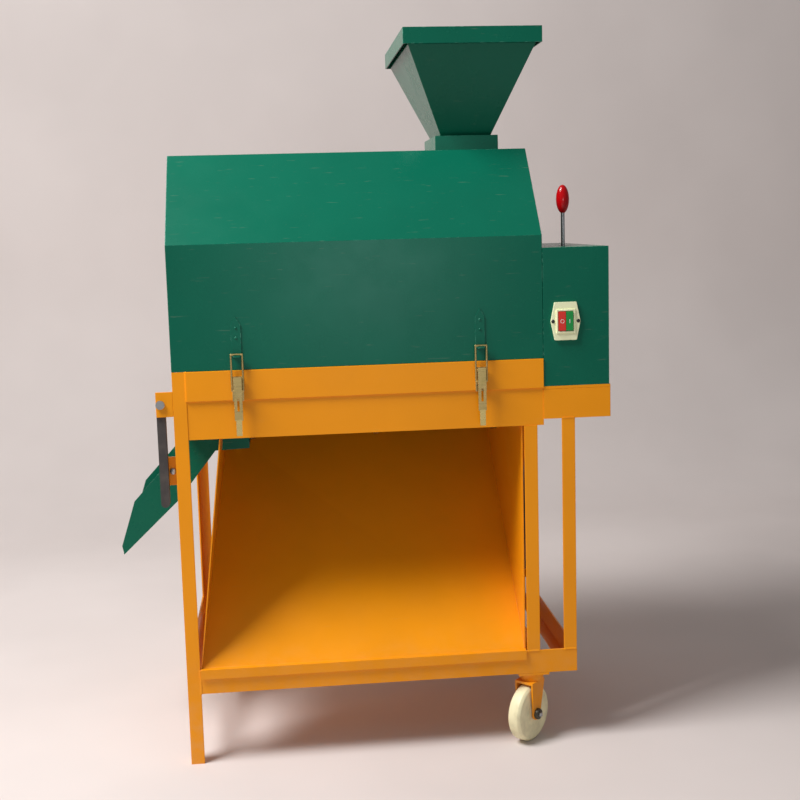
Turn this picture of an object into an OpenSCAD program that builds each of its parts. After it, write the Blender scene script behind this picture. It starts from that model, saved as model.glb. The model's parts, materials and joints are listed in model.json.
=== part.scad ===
/* [Frame] */
// Length of the hood and of the frame under it
frame_len = 600; // [560:10:1200]
// Depth of the frame, front to rear
frame_depth = 440; // [420:10:600]
// Height of the seat that the hood closes on
deck_z = 654; // [620:2:800]
// Width of one flange of the angle iron
angle_w = 22; // [18:1:28]
// Thickness of the angle iron
angle_t = 3; // [2:0.5:4]
// Height of the underside of the lower rails
rail_z = 120; // [116:1:160]
// Height of the lower rails
rail_h = 40; // [30:1:50]
// Height of the trough bands, just under the hood
band_h = 48; // [40:1:56]
// Height of the upper rails, under the trough bands
upper_rail_h = 62; // [50:1:70]
// How far the right posts stand in from the end of the hood
post_inset = 11; // [6:1:16]
// Distance from the end of the hood to the outer posts
outer_gap = 30; // [24:1:50]

/* [Hood] */
// Height of the hood's vertical front panel
hood_wall_h = 200; // [160:2:260]
// Height of the hood's sloped panels
hood_slope_h = 145; // [110:1:180]
// Depth that each sloped panel runs back
hood_slope_run = 125; // [90:1:140]
// Thickness of the hood's sheet
sheet_t = 2; // [1.5:0.5:3]

/* [Hopper] */
// Middle of the hopper, measured from the hood's right end
hopper_inset = 97; // [80:1:130]
// Length of the hopper's rim along the machine
rim_len = 228; // [190:2:260]
// Width of the hopper's rim across the machine
rim_width = 326; // [260:2:340]
// Height of the hopper's turned-down rim
rim_h = 26; // [16:1:34]
// How far the rim stands out from the cone
rim_lip = 9; // [6:1:14]
// Height of the hopper's cone
cone_h = 141; // [110:1:190]
// Length of the feed throat along the machine
throat_len = 82; // [70:1:100]
// Width of the feed throat across the machine
throat_width = 126; // [100:1:140]
// Height of the collar between the hopper and the hood
collar_h = 25; // [18:1:34]
// How far the collar stands out round the throat
collar_lip = 13; // [10:1:18]

/* [Drum] */
// Height of the drum's axis over the hood's seat
drum_rise = 6; // [2:1:12]
// Radius of the drum's core
core_r = 68; // [50:1:80]
// Radius that the beater bars reach
beater_r = 116; // [100:1:122]
// Radius of the ring that the screen's rods lie on
screen_r = 144; // [134:1:146]
// Radius of one rod of the screen
rod_r = 3.5; // [2.5:0.5:4]
// Radius of the drum's shaft
shaft_r = 15; // [12:0.5:18]
// Length of the nut outlet at the drum's left end
outlet_len = 68; // [56:1:90]

/* [Drive] */
// Length of the shelf that carries the drive box
shelf_len = 112; // [108:1:160]
// Height of the drive box
box_h = 226; // [210:1:280]
// Depth of the drive box
box_depth = 340; // [320:2:400]
// Outside radius of the large pulley
pulley_r = 76; // [60:1:84]
// Outside radius of the motor's pulley
motor_pulley_r = 36; // [30:1:44]
// Width of both pulleys
pulley_w = 24; // [20:1:28]
// Radius of the motor's body
motor_r = 64; // [50:1:68]
// Length of the motor's body
motor_len = 210; // [160:2:230]
// Height of the motor's axis over its base
motor_rise = 71; // [70:1:90]
// Distance from the machine's middle back to the motor's axis
motor_back = 125; // [110:1:130]

/* [Controls] */
// Distance from the drive box's front back to the clutch lever
lever_back = 92; // [70:1:110]
// Distance from the end of the hood to the clutch lever
lever_gap = 56; // [54:1:60]
// Height of the lever's pivot over the drum's axis
lever_rise = 104; // [90:1:120]
// Length of the bare rod between the drive box and the knob
rod_show = 54; // [40:1:70]
// Height of the lever's oval knob
knob_h = 48; // [36:1:60]
// Width of the lever's oval knob
knob_w = 22; // [18:1:40]
// Width of the switch plate from point to point
plate_w = 49; // [46:1:70]
// Height of the switch plate
plate_h = 62; // [54:1:80]
// Width of one push button
button_w = 11.6; // [9:0.2:12]
// Height of the push buttons
button_h = 31; // [24:1:36]
// Depth that a push button travels
button_travel = 4; // [2:0.5:5]

/* [Chute and spout] */
// Depth of the lip folded down over the front rail
lip_h = 14; // [8:1:20]
// How far the chute's left wall leans in, over its height
chute_lean = 47; // [20:1:60]
// Width of the nut spout
spout_w = 180; // [120:2:200]
// How far the spout reaches out past the frame
spout_reach = 110; // [70:1:160]
// Height that the spout falls from the drum to its knee
spout_fall = 84; // [60:1:100]
// Height that the spout falls from its knee to its tip
spout_tip_fall = 90; // [60:1:120]
// Upright height of the spout's walls at the tip
spout_wall_h = 70; // [50:1:90]

/* [Latches and grips] */
// Distance from each end of the hood to a latch
latch_inset = 104; // [70:1:140]
// Width of a latch's lever
latch_w = 13; // [11:0.5:16]
// Length of a latch's lever
latch_len = 70; // [60:1:80]
// Width of a latch's wire bail
bail_w = 21; // [20:0.5:24]
// Radius of the bail's wire
wire_r = 1.5; // [1.2:0.1:1.8]
// Height of a keeper on the hood
keeper_h = 62; // [54:1:80]
// Length of a folding grip
grip_len = 186; // [140:1:200]
// Width of a folding grip
grip_w = 14; // [12:1:16]

/* [Casters] */
// Radius of a caster's wheel
wheel_r = 48; // [40:1:50]
// Width of a caster's wheel
wheel_w = 24; // [20:1:28]
// Angle that the casters are turned to
caster_turn = 46; // [0:1:90]
// Distance that a wheel trails behind its swivel
caster_trail = 12; // [8:1:18]

/* [Hidden] */
$fn = 48;

// Finishes
orange = [0.88, 0.5, 0.1];
green = [0.05, 0.33, 0.25];
steel = [0.62, 0.63, 0.64];
zinc = [0.7, 0.66, 0.45];
dark = [0.2, 0.19, 0.19];
cream = [0.85, 0.85, 0.7];
red = [0.75, 0.06, 0.1];

// Clearances and overruns
over = 1;
run_fit = 0.05;
gap = 0.4;
loose = 2;

// Levels and stations of the frame
rail_top = rail_z + rail_h;
band_z = deck_z - band_h;
low_z = band_z - upper_rail_h;
post_x = frame_len - post_inset - angle_w;
outer_x = frame_len + outer_gap;
rail_end_x = outer_x + angle_w;
mid_y = frame_depth / 2;
band_proud = 2;
rail_recess = 1;
drum_z = deck_z + drum_rise;
hood_z = deck_z + gap;
bend_z = hood_z + hood_wall_h;
roof_z = bend_z + hood_slope_h;

// Stations of the drum and its drive
plate_t = 4;
end_inset = angle_w * 2;
left_plate_x = end_inset;
right_plate_x = frame_len - end_inset - plate_t;
drum_x0 = left_plate_x + plate_t + outlet_len;
drum_clear = 8;
drum_x1 = right_plate_x - drum_clear;
housing_t = 18;
flange_t = 8;
shaft_tail = 10;
shaft_x0 = left_plate_x - housing_t - shaft_tail;
box_gap = 0.5;
box_x0 = frame_len + box_gap;
box_x1 = frame_len + shelf_len - loose;
shelf_x1 = frame_len + shelf_len;
shaft_x1 = box_x1 - housing_t;
pulley_x0 = box_x0 + sheet_t + loose * 2;
pulley_x1 = pulley_x0 + pulley_w;
shelf_t = 5;
shelf_drop = 3;
shelf_rail_h = 49;
shelf_z = band_z - shelf_drop;
box_z = shelf_z + shelf_t;
box_top = box_z + box_h;

// Outermost points and the middle of the footprint
spout_tip_x = -spout_reach;
hinge_out = 7;
hinge_r = 4.6;
hinge_y = frame_depth + hinge_out;
caster_y = 22;
wheel_swing = wheel_r * sin(caster_turn) + wheel_w / 3 * cos(caster_turn);
wheel_shift = caster_trail * sin(caster_turn);
latch_out = 17.5;
front_out = max(latch_out, wheel_swing + wheel_shift - caster_y);
rear_out = max(hinge_y + hinge_r, frame_depth - caster_y - wheel_shift + wheel_swing);
mid_x = (spout_tip_x + shelf_x1) / 2;
mid_depth = (rear_out - front_out) / 2;

// Turn a two-by-two direction into its left-hand normal
function normal(a, b) = let (d = b - a) [-d[1], d[0]] / norm(d);

// Mitred copy of an open line, moved sideways by t
function beside(line, t) = [
    for (i = [0 : len(line) - 1])
        let (
            before = i == 0 ? normal(line[0], line[1]) : normal(line[i - 1], line[i]),
            after = i == len(line) - 1 ? before : normal(line[i], line[i + 1])
        )
        line[i] + (before + after) * t / (1 + before * after)
];

// The points of a line, last first
function reversed(line) = [for (i = [len(line) - 1 : -1 : 0]) line[i]];

// A sheet of thickness t bent along an open line
module bent(line, t) {
    polygon(concat(line, reversed(beside(line, t))));
}

// Put a shape drawn in the depth and height plane along the machine
module along_x(x0, x1) {
    translate([x0, 0, 0])
        rotate([90, 0, 90])
            linear_extrude(x1 - x0)
                children();
}

// Put a shape drawn in the length and height plane across the machine
module along_y(y0, y1) {
    translate([0, y1, 0])
        rotate([90, 0, 0])
            linear_extrude(y1 - y0)
                children();
}

// Round bar along the machine
module bar_x(x0, x1, y, z, r) {
    translate([x0, y, z])
        rotate([0, 90, 0])
            cylinder(h = x1 - x0, r = r);
}

// Round bar across the machine
module bar_y(y0, y1, x, z, r) {
    translate([x, y0, z])
        rotate([-90, 0, 0])
            cylinder(h = y1 - y0, r = r);
}

// Box between two corners
module block(low, high) {
    translate(low)
        cube(high - low);
}

// Frame of the part: the middle of the footprint on the floor
module placed() {
    translate([-mid_x, -mid_depth, 0])
        children();
}

// The same shape at the front and, mirrored, at the rear
module at_both_sides() {
    children();
    translate([0, frame_depth, 0])
        mirror([0, 1, 0])
            children();
}

// Angle iron: two flanges that meet at the origin
module angle_section(w, h, t) {
    polygon([[0, 0], [w, 0], [w, t], [t, t], [t, h], [0, h]]);
}

// Upright of angle iron with its corner at the origin
module upright(z0, z1) {
    translate([0, 0, z0])
        linear_extrude(z1 - z0)
            angle_section(angle_w, angle_w, angle_t);
}

// The legs' top ends stand on a line with the hood's seat
module left_leg() {
    upright(0, deck_z);
}

module front_left_leg() {
    color(orange)
        placed()
            left_leg();
}

module rear_left_leg() {
    color(orange)
        placed()
            translate([0, frame_depth, 0])
                mirror([0, 1, 0])
                    left_leg();
}

// Upright that faces right, with its outer edge at x
module right_upright(x, z0, z1) {
    translate([x, 0, 0])
        mirror([1, 0, 0])
            upright(z0, z1);
}

module right_posts() {
    color(orange)
        placed()
            at_both_sides()
                right_upright(post_x + angle_w, rail_top, low_z);
}

module outer_posts() {
    color(orange)
        placed()
            at_both_sides()
                right_upright(rail_end_x, rail_top, shelf_z - shelf_rail_h);
}

// Long rails between the legs, with the casters under them
module lower_rails() {
    color(orange)
        placed()
            at_both_sides()
                translate([0, 0, rail_z])
                    along_x(angle_w, rail_end_x)
                        angle_section(angle_w, rail_h, angle_t);
}

// Rail across the machine, its upright flange facing the side given
module cross_rail(x, z, h, side) {
    along_y(angle_w, frame_depth - angle_w)
        translate([x, z])
            mirror([side < 0 ? 1 : 0, 0])
                angle_section(angle_w, h, angle_t);
}

motor_y = mid_y + motor_back;
motor_bed_half = 84;
motor_bed_y = motor_y - motor_bed_half;

// Every rail that runs across the machine, and the one that the motor's base lies on
module cross_rails() {
    end_rail_h = upper_rail_h + band_h / 2;
    color(orange)
        placed() {
            cross_rail(0, rail_z, rail_h, 1);
            cross_rail(post_x + angle_w, rail_z, rail_h, -1);
            cross_rail(rail_end_x, rail_z, rail_h, -1);
            cross_rail(0, low_z, end_rail_h, 1);
            cross_rail(frame_len, low_z, end_rail_h, -1);
            translate([0, motor_bed_y, rail_z])
                along_x(angle_w, post_x)
                    angle_section(angle_w, rail_h, angle_t);
        }
}

module upper_rails() {
    color(orange)
        placed()
            at_both_sides()
                translate([0, rail_recess, low_z])
                    along_x(angle_w, frame_len)
                        angle_section(angle_w - rail_recess, upper_rail_h, angle_t);
}

band_t = 4;

// Bands along the trough, with a flange at the top that the hood closes on
module trough_bands() {
    color(orange)
        placed()
            at_both_sides()
                translate([0, -band_proud, deck_z])
                    mirror([0, 0, 1])
                        along_x(angle_w, frame_len)
                            angle_section(angle_w + band_proud, band_h, band_t);
}

outlet_lift = 12;
housing_half = 33;
plate_crest = 52;
shaft_hole_r = shaft_r + loose * 2;

// Upper part of both end plates, with the seat of the bearing
module end_plate_top(z0) {
    translate([angle_w, z0])
        square([frame_depth - angle_w * 2, deck_z - z0]);
    translate([mid_y - plate_crest, deck_z - over])
        square([plate_crest * 2, drum_rise + plate_crest + over]);
}

module left_end_plate() {
    color(orange)
        placed()
            along_x(left_plate_x, left_plate_x + plate_t)
                difference() {
                    end_plate_top(low_z + outlet_lift);
                    translate([mid_y, drum_z])
                        circle(shaft_hole_r);
                }
}

rib_h = 6.5;
rib_t = 6;
rib_in = screen_r + rod_r + run_fit;
rib_out = rib_in + rib_h;

module right_end_plate() {
    color(orange)
        placed()
            along_x(right_plate_x, right_plate_x + plate_t)
                difference() {
                    union() {
                        end_plate_top(low_z);
                        translate([mid_y, drum_z])
                            circle(rib_out, $fn = 96);
                    }
                    translate([mid_y, drum_z])
                        circle(shaft_hole_r);
                    translate([0, deck_z + drum_rise + plate_crest])
                        square([frame_depth, rib_out]);
                    translate([0, deck_z])
                        square([mid_y - plate_crest, rib_out]);
                    translate([mid_y + plate_crest, deck_z])
                        square([mid_y, rib_out]);
                }
}

rod_count = 17;
rod_span = 80;
rib_span = rod_span + 4;
fan_count = 6;
outlet_angle = 45;

// Half cage of rods: the husk falls through, and the nuts leave at the open left end
module concave_screen() {
    color(steel)
        placed()
            for (i = [0 : rod_count - 1]) {
                a = rod_span * (2 * i / (rod_count - 1) - 1);
                bar_x(abs(a) < outlet_angle ? drum_x0 : left_plate_x + plate_t, right_plate_x,
                      mid_y + screen_r * sin(a), drum_z - screen_r * cos(a), rod_r);
            }
}

// Three half rings under the drum that carry the screen's rods
module screen_ribs() {
    fan = [for (i = [0 : fan_count]) rib_span * (2 * i / fan_count - 1)];
    color(steel)
        placed()
            for (x = [drum_x0, (drum_x0 + right_plate_x) / 2, right_plate_x - rib_t])
                along_x(x, x + rib_t)
                    translate([mid_y, drum_z])
                        intersection() {
                            difference() {
                                circle(rib_out, $fn = 96);
                                circle(rib_in, $fn = 96);
                            }
                            polygon(concat([[0, 0]], [for (a = fan) [sin(a), -cos(a)] * rib_out * 2]));
                        }
}

lip_out = 2;
chute_x0 = angle_w + over;
chute_x1 = post_x - loose;
chute_y0 = angle_t + loose + over;
chute_y1 = frame_depth - angle_w;
chute_rise = low_z - sheet_t - rail_top;
chute_angle = atan(chute_lean / chute_rise);
spout_y0 = mid_y - spout_w / 2;
spout_y1 = mid_y + spout_w / 2;
spout_head_z = drum_z - rib_out - loose;
wall_low_z = spout_head_z - loose * 3;

// Husk chute: a sloped plate with a lip folded over the front rail, and two walls
module husk_chute() {
    floor_line = [
        [-lip_out, rail_top - lip_h], [-lip_out, rail_top], [chute_y0, rail_top],
        [chute_y1, low_z - sheet_t], [frame_depth - angle_t, low_z - sheet_t]
    ];
    wall_z = rail_top + sheet_t / 2;
    wall_h = (low_z - sheet_t - wall_z) / cos(chute_angle);
    low_h = (wall_low_z - rail_top) / cos(chute_angle);
    low_y = chute_y0 + (chute_y1 - chute_y0) * (wall_low_z - rail_top) / chute_rise;
    color(orange)
        placed() {
            difference() {
                along_x(chute_x0, chute_x1)
                    bent(floor_line, sheet_t);
                translate([chute_x0, -frame_depth, wall_z])
                    rotate([0, chute_angle, 0])
                        translate([-frame_len, 0, 0])
                            cube([frame_len, frame_depth * 3, deck_z]);
            }
            translate([chute_x0, 0, wall_z])
                rotate([0, chute_angle, 0])
                    along_x(0, sheet_t)
                        polygon([
                            [chute_y0, 0], [chute_y0, wall_h], [spout_y0 - loose * 2, wall_h],
                            [spout_y0 - loose * 2, low_h], [low_y, low_h]
                        ]);
            along_x(chute_x1 - sheet_t, chute_x1)
                polygon([[chute_y0, wall_z], [chute_y0, low_z - sheet_t / 2],
                         [chute_y1, low_z - sheet_t / 2]]);
        }
}

spout_nose = 15;
spout_brow = 22;
spout_bend_in = 8;
spout_nose_in = 3;
spout_bend_x = left_plate_x + plate_t + spout_bend_in;
spout_knee = [-angle_w / 2, spout_head_z - loose - spout_fall];
spout_tip = [spout_tip_x + spout_nose_in, spout_knee[1] - spout_tip_fall];

// Nut spout: a channel that falls to the left from the drum's open end
module nut_spout() {
    head_x = drum_x0 - loose;
    floor_line = [
        spout_tip, spout_knee, [spout_bend_x, spout_head_z - loose], [head_x, spout_head_z]
    ];
    wall_top = [
        [head_x, low_z], [0, low_z], spout_knee + [-angle_w / 2, spout_wall_h],
        spout_tip + [spout_brow, spout_wall_h + spout_brow],
        [spout_tip_x, spout_tip[1] + spout_nose]
    ];
    color(green)
        placed() {
            along_y(spout_y0, spout_y1)
                bent(floor_line, sheet_t);
            for (y = [spout_y0, spout_y1 - sheet_t])
                along_y(y, y + sheet_t)
                    polygon(concat(floor_line, wall_top));
        }
}

window_front = 12;
window_rear = 44;

// Shelf plate under the drive box, open where the pulley and the belt pass through
module drive_shelf() {
    color(orange)
        placed()
            difference() {
                block([frame_len, 0, shelf_z], [shelf_x1, frame_depth, box_z]);
                block([pulley_x0 - loose, mid_y - pulley_r - window_front, shelf_z - over],
                      [pulley_x1 + loose, mid_y + pulley_r + window_rear, box_z + over]);
            }
}

module shelf_rails() {
    color(orange)
        placed() {
            at_both_sides()
                translate([0, 0, shelf_z - shelf_rail_h])
                    along_x(frame_len, shelf_x1)
                        angle_section(angle_w, shelf_rail_h, angle_t);
            cross_rail(shelf_x1, shelf_z - shelf_rail_h, shelf_rail_h, -1);
        }
}

lever_x = frame_len + lever_gap;
lever_pivot_z = drum_z + lever_rise;
slot_left = 9;
slot_right = 15;
slot_half = 7;
switch_back = 19;
switch_height_share = 0.47;
switch_x = lever_x - switch_back;
switch_z = box_z + box_h * switch_height_share;
switch_half_w = button_w + loose;
switch_half_h = button_h / 2 + loose * 2;
gland_hole_r = 7;
gland_z = box_z + housing_t * 2;

// Cover over the drive: five sides of folded sheet, open at the bottom
module drive_box() {
    seam_y0 = sheet_t + run_fit;
    seam_y1 = box_depth - sheet_t - run_fit;
    color(green)
        placed() {
            difference() {
                block([box_x0, 0, box_z], [box_x1, sheet_t, box_top]);
                block([switch_x - switch_half_w, -over, switch_z - switch_half_h],
                      [switch_x + switch_half_w, sheet_t + over, switch_z + switch_half_h]);
            }
            difference() {
                block([box_x0, box_depth - sheet_t, box_z], [box_x1, box_depth, box_top]);
                bar_y(box_depth - sheet_t - over, box_depth + over, lever_x, gland_z, gland_hole_r);
            }
            difference() {
                block([box_x0, seam_y0, box_z], [box_x0 + sheet_t, seam_y1, box_top]);
                bar_x(box_x0 - over, box_x0 + sheet_t + over, mid_y, drum_z, shaft_hole_r);
            }
            block([box_x1 - sheet_t, seam_y0, box_z], [box_x1, seam_y1, box_top]);
            difference() {
                block([box_x0 + seam_y0, seam_y0, box_top - sheet_t], [box_x1 - seam_y0, seam_y1, box_top]);
                block([lever_x - slot_left, lever_back - slot_half, box_top - sheet_t - over],
                      [lever_x + slot_right, lever_back + slot_half, box_top + over]);
            }
        }
}

housing_boss_share = 0.85;

// One bearing housing, on its flange, facing left of x
module housing(x) {
    difference() {
        union() {
            block([x - flange_t, mid_y - housing_half, drum_z - housing_half],
                  [x, mid_y + housing_half, drum_z + housing_half]);
            bar_x(x - housing_t, x, mid_y, drum_z, housing_half * housing_boss_share);
        }
        bar_x(x - housing_t - over, x + over, mid_y, drum_z, shaft_r + run_fit);
    }
}

// Put a left-hand piece at the drum's right end
module at_right_end() {
    translate([left_plate_x + right_plate_x + plate_t, 0, 0])
        mirror([1, 0, 0])
            children();
}

module bearing_housings() {
    color(dark)
        placed() {
            housing(left_plate_x);
            at_right_end()
                housing(left_plate_x);
        }
}

bolt_r = 5;
bolt_h = 4;
bolt_inset = 7.2;
screw_r = 2;
screw_h = 1.2;
plate_screw = 3.6;

// Four hexagon heads on a bearing's flange
module housing_bolts() {
    for (y = [-1, 1], z = [-1, 1])
        translate([left_plate_x - flange_t - bolt_h, mid_y + y * (housing_half - bolt_inset),
                   drum_z + z * (housing_half - bolt_inset)])
            rotate([0, 90, 0])
                cylinder(h = bolt_h, r = bolt_r, $fn = 6);
}

motor_base_t = 6;
motor_z = rail_top + motor_base_t + motor_rise;
motor_gap = 8;
motor_x1 = post_x - motor_gap;
motor_x0 = motor_x1 - motor_len;
motor_foot_w = 26;
motor_foot_h = 10;
motor_foot_out = 16;
motor_bolt_in = 39;
fan_cover_len = 40;
motor_shaft_r = 10;

// Hexagon heads on the motor's four feet
module motor_bolts() {
    for (x = [motor_x0 + motor_bolt_in, motor_x1 - motor_bolt_in], y = [-1, 1])
        translate([x, motor_y + y * (motor_r + motor_foot_out / 4), rail_top + motor_base_t + motor_foot_h])
            cylinder(h = bolt_h, r = bolt_r, $fn = 6);
}

// Slotted screws at the switch plate's points
module switch_screws() {
    for (side = [-1, 1])
        bar_y(-switch_plate_t - screw_h, -switch_plate_t,
              switch_x + side * (plate_w / 2 - plate_screw), switch_z,
              screw_r);
}

module fasteners() {
    color(steel)
        placed() {
            housing_bolts();
            at_right_end()
                housing_bolts();
            motor_bolts();
            switch_screws();
        }
}

switch_plate_t = 4;
plate_top_share = 0.37;
button_gap = 0.3;
button_proud = 3;
button_deep = 4;
switch_deep = 34;
cavity_deep = button_deep + button_travel * 2;
window_half_w = button_w + button_gap * 3;
window_half_h = button_h / 2 + button_gap * 2;

// Six-sided plate with points at its sides
module switch_outline() {
    top = plate_w * plate_top_share;
    polygon([
        [-plate_w / 2, 0], [-top, -plate_h / 2], [top, -plate_h / 2],
        [plate_w / 2, 0], [top, plate_h / 2], [-top, plate_h / 2]
    ]);
}

module switch_plate() {
    color(cream)
        placed()
            difference() {
                along_y(-switch_plate_t, 0)
                    translate([switch_x, switch_z])
                        switch_outline();
                block([switch_x - window_half_w, -switch_plate_t - over, switch_z - window_half_h],
                      [switch_x + window_half_w, over, switch_z + window_half_h]);
            }
}

module switch_body() {
    color(dark)
        placed()
            difference() {
                block([switch_x - switch_half_w + gap, 0, switch_z - switch_half_h + gap],
                      [switch_x + switch_half_w - gap, switch_deep, switch_z + switch_half_h - gap]);
                block([switch_x - window_half_w, -over, switch_z - window_half_h],
                      [switch_x + window_half_w, cavity_deep, switch_z + window_half_h]);
            }
}

// One push button, on the side of the switch given
module button(side) {
    low_x = side < 0 ? -button_w - button_gap : button_gap;
    placed()
        block([switch_x + low_x, -switch_plate_t - button_proud, switch_z - button_h / 2],
              [switch_x + low_x + button_w, button_deep, switch_z + button_h / 2]);
}

module stop_button() {
    color(red)
        button(-1);
}

module start_button() {
    color(green)
        button(1);
}

gland_bore_r = 4;
gland_nut_r = 11;
gland_nut_t = 7;
gland_tail = 16;

// Inlet for the supply lead at the back of the drive box
module cable_gland() {
    color(dark)
        placed()
            difference() {
                union() {
                    bar_y(box_depth - sheet_t - gland_nut_t, box_depth + gland_tail, lever_x, gland_z,
                          gland_hole_r - run_fit);
                    translate([lever_x, box_depth, gland_z])
                        rotate([-90, 0, 0])
                            cylinder(h = gland_nut_t, r = gland_nut_r, $fn = 6);
                }
                bar_y(box_depth - sheet_t - gland_nut_t - over, box_depth + gland_tail + over,
                      lever_x, gland_z,
                      gland_bore_r);
            }
}

terminal_len = 70;
terminal_w = 60;
terminal_h = 34;

// Motor with its feet and its terminal box
module motor_body() {
    foot_y = motor_r + motor_foot_out;
    color(steel)
        placed()
            difference() {
                union() {
                    bar_x(motor_x0, motor_x1, motor_y, motor_z, motor_r);
                    for (x = [motor_x0 + motor_foot_w, motor_x1 - motor_foot_w * 2])
                        difference() {
                            block([x, motor_y - foot_y, rail_top + motor_base_t],
                                  [x + motor_foot_w, motor_y + foot_y, motor_z - motor_r / 2]);
                            for (side = [-1, 1])
                                translate([x - over, motor_y + side * foot_y,
                                           rail_top + motor_base_t + motor_foot_h])
                                    translate([0, side < 0 ? 0 : -motor_foot_out * 2, 0])
                                        cube([motor_foot_w + over * 2, motor_foot_out * 2, motor_r]);
                        }
                    block([motor_x0 + terminal_len, motor_y - terminal_w / 2, motor_z],
                          [motor_x0 + terminal_len * 2, motor_y + terminal_w / 2,
                           motor_z + motor_r + terminal_h]);
                }
                bar_x(motor_x0 - over, motor_x1 + over, motor_y, motor_z, motor_shaft_r + run_fit);
            }
}

module motor_fan_cover() {
    color(dark)
        placed()
            difference() {
                bar_x(motor_x0 - fan_cover_len, motor_x0, motor_y, motor_z, motor_r);
                bar_x(motor_x0 - fan_cover_len + sheet_t, motor_x0 + over,
                      motor_y, motor_z, motor_r - sheet_t);
            }
}

// Plate that the motor stands on, from the cross rail to the rear rail
module motor_base() {
    color(orange)
        placed()
            block([motor_x0, motor_bed_y, rail_top], [motor_x1, frame_depth, rail_top + motor_base_t]);
}

module motor_shaft() {
    color(steel)
        placed()
            bar_x(motor_x0 + loose, pulley_x1, motor_y, motor_z, motor_shaft_r);
}

belt_w = 12;
belt_t = 8;
groove_d = 9;
belt_mid_x = (pulley_x0 + pulley_x1) / 2;

// Grooved pulley round the machine's length, with the middle of its groove at zero
module pulley(r, bore_r) {
    half = pulley_w / 2;
    groove = belt_w / 2 + over;
    rotate([0, 90, 0])
        rotate_extrude($fn = 96)
            polygon([
                [bore_r, -half], [r, -half], [r, -groove], [r - groove_d, -groove],
                [r - groove_d, groove], [r, groove], [r, half], [bore_r, half]
            ]);
}

module motor_pulley() {
    color(dark)
        placed()
            translate([belt_mid_x, motor_y, motor_z])
                pulley(motor_pulley_r, motor_shaft_r + run_fit);
}

module drum_pulley() {
    color(dark)
        placed()
            translate([belt_mid_x, mid_y, drum_z])
                pulley(pulley_r, shaft_r + run_fit);
}

// Outline round both pulleys, this far out from the floors of their grooves
module belt_outline(out) {
    hull() {
        translate([mid_y, drum_z])
            circle(pulley_r - groove_d + out, $fn = 96);
        translate([motor_y, motor_z])
            circle(motor_pulley_r - groove_d + out, $fn = 96);
    }
}

module v_belt() {
    color(dark)
        placed()
            along_x(belt_mid_x - belt_w / 2, belt_mid_x + belt_w / 2)
                difference() {
                    belt_outline(gap + belt_t);
                    belt_outline(gap);
                }
}

rocker_r = 6;
bracket_half = 12;
bracket_t = 5;
bracket_front = 18;
bracket_rear = 40;

// Two hangers under the drive box's top that carry the rocker shaft
module rocker_brackets() {
    color(steel)
        placed()
            for (y = [lever_back - bracket_front, lever_back + bracket_rear])
                difference() {
                    block([lever_x - bracket_half, y, lever_pivot_z - bracket_half],
                          [lever_x + bracket_half, y + bracket_t, box_top - sheet_t]);
                    bar_y(y - over, y + bracket_t + over, lever_x, lever_pivot_z, rocker_r + run_fit);
                }
}

lever_rod_r = 3.2;
boss_r = 11;
boss_half = 8;
knob_seat = knob_h / 2;

// Clutch lever: a boss on the rocker shaft, and a rod up through the slot
module lever_rod() {
    color(steel)
        placed()
            difference() {
                union() {
                    bar_y(lever_back - boss_half, lever_back + boss_half, lever_x, lever_pivot_z, boss_r);
                    translate([lever_x, lever_back, lever_pivot_z])
                        cylinder(h = box_top + rod_show + knob_seat - lever_pivot_z, r = lever_rod_r);
                }
                bar_y(lever_back - boss_half - over, lever_back + boss_half + over, lever_x, lever_pivot_z,
                      rocker_r + run_fit);
            }
}

knob_steps = 24;

// Oval knob on the end of the lever
module lever_knob() {
    color(red)
        placed()
            translate([lever_x, lever_back, box_top + rod_show + knob_h / 2])
                difference() {
                    rotate_extrude()
                        polygon([
                            for (i = [0 : knob_steps])
                                let (a = 180 * i / knob_steps - 90)
                                [i == 0 || i == knob_steps ? 0 : knob_w / 2 * cos(a), knob_h / 2 * sin(a)]
                        ]);
                    translate([0, 0, -knob_h])
                        cylinder(h = knob_h + knob_seat - knob_h / 2 + run_fit, r = lever_rod_r + run_fit);
                }
}

sleeve_groove = 6.5;
sleeve_wall = 6;
sleeve_r = 38;
sleeve_disc_r = 46;
groove_r = 27;
fork_half = 3;
fork_in = groove_r + loose;
fork_out = sleeve_r - loose;

// Rocker shaft with the fork that shifts the clutch sleeve
module shift_fork() {
    color(steel)
        placed() {
            bar_y(lever_back - bracket_front - loose * 2, mid_y + boss_half,
                  lever_x, lever_pivot_z, rocker_r);
            block([lever_x - fork_half, mid_y - boss_half, drum_z + sleeve_r + loose * 2],
                  [lever_x + fork_half, mid_y + boss_half, lever_pivot_z]);
            block([lever_x - fork_half, mid_y - fork_out, drum_z + sleeve_r + loose * 2],
                  [lever_x + fork_half, mid_y + fork_out, drum_z + sleeve_r + boss_r + loose * 2]);
            for (y = [mid_y - fork_out, mid_y + fork_in])
                block([lever_x - fork_half, y, drum_z - sleeve_wall],
                      [lever_x + fork_half, y + fork_out - fork_in, drum_z + sleeve_r + boss_r]);
        }
}

// Sleeve that slides on the shaft: a friction disc towards the pulley, and a groove for the fork
module clutch_sleeve() {
    color(steel)
        placed()
            translate([lever_x, mid_y, drum_z])
                rotate([0, 90, 0])
                    rotate_extrude()
                        polygon([
                            [shaft_r + run_fit, -sleeve_groove - sleeve_wall],
                            [sleeve_disc_r, -sleeve_groove - sleeve_wall], [sleeve_disc_r, -sleeve_groove],
                            [groove_r, -sleeve_groove], [groove_r, sleeve_groove],
                            [sleeve_r, sleeve_groove],
                            [sleeve_r, sleeve_groove + sleeve_wall],
                            [shaft_r + run_fit, sleeve_groove + sleeve_wall]
                        ]);
}

module drum_shaft() {
    color(steel)
        placed()
            bar_x(shaft_x0, shaft_x1, mid_y, drum_z, shaft_r);
}

core_inset = 4;
bar_half = 5;
bar_count = 6;

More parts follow.
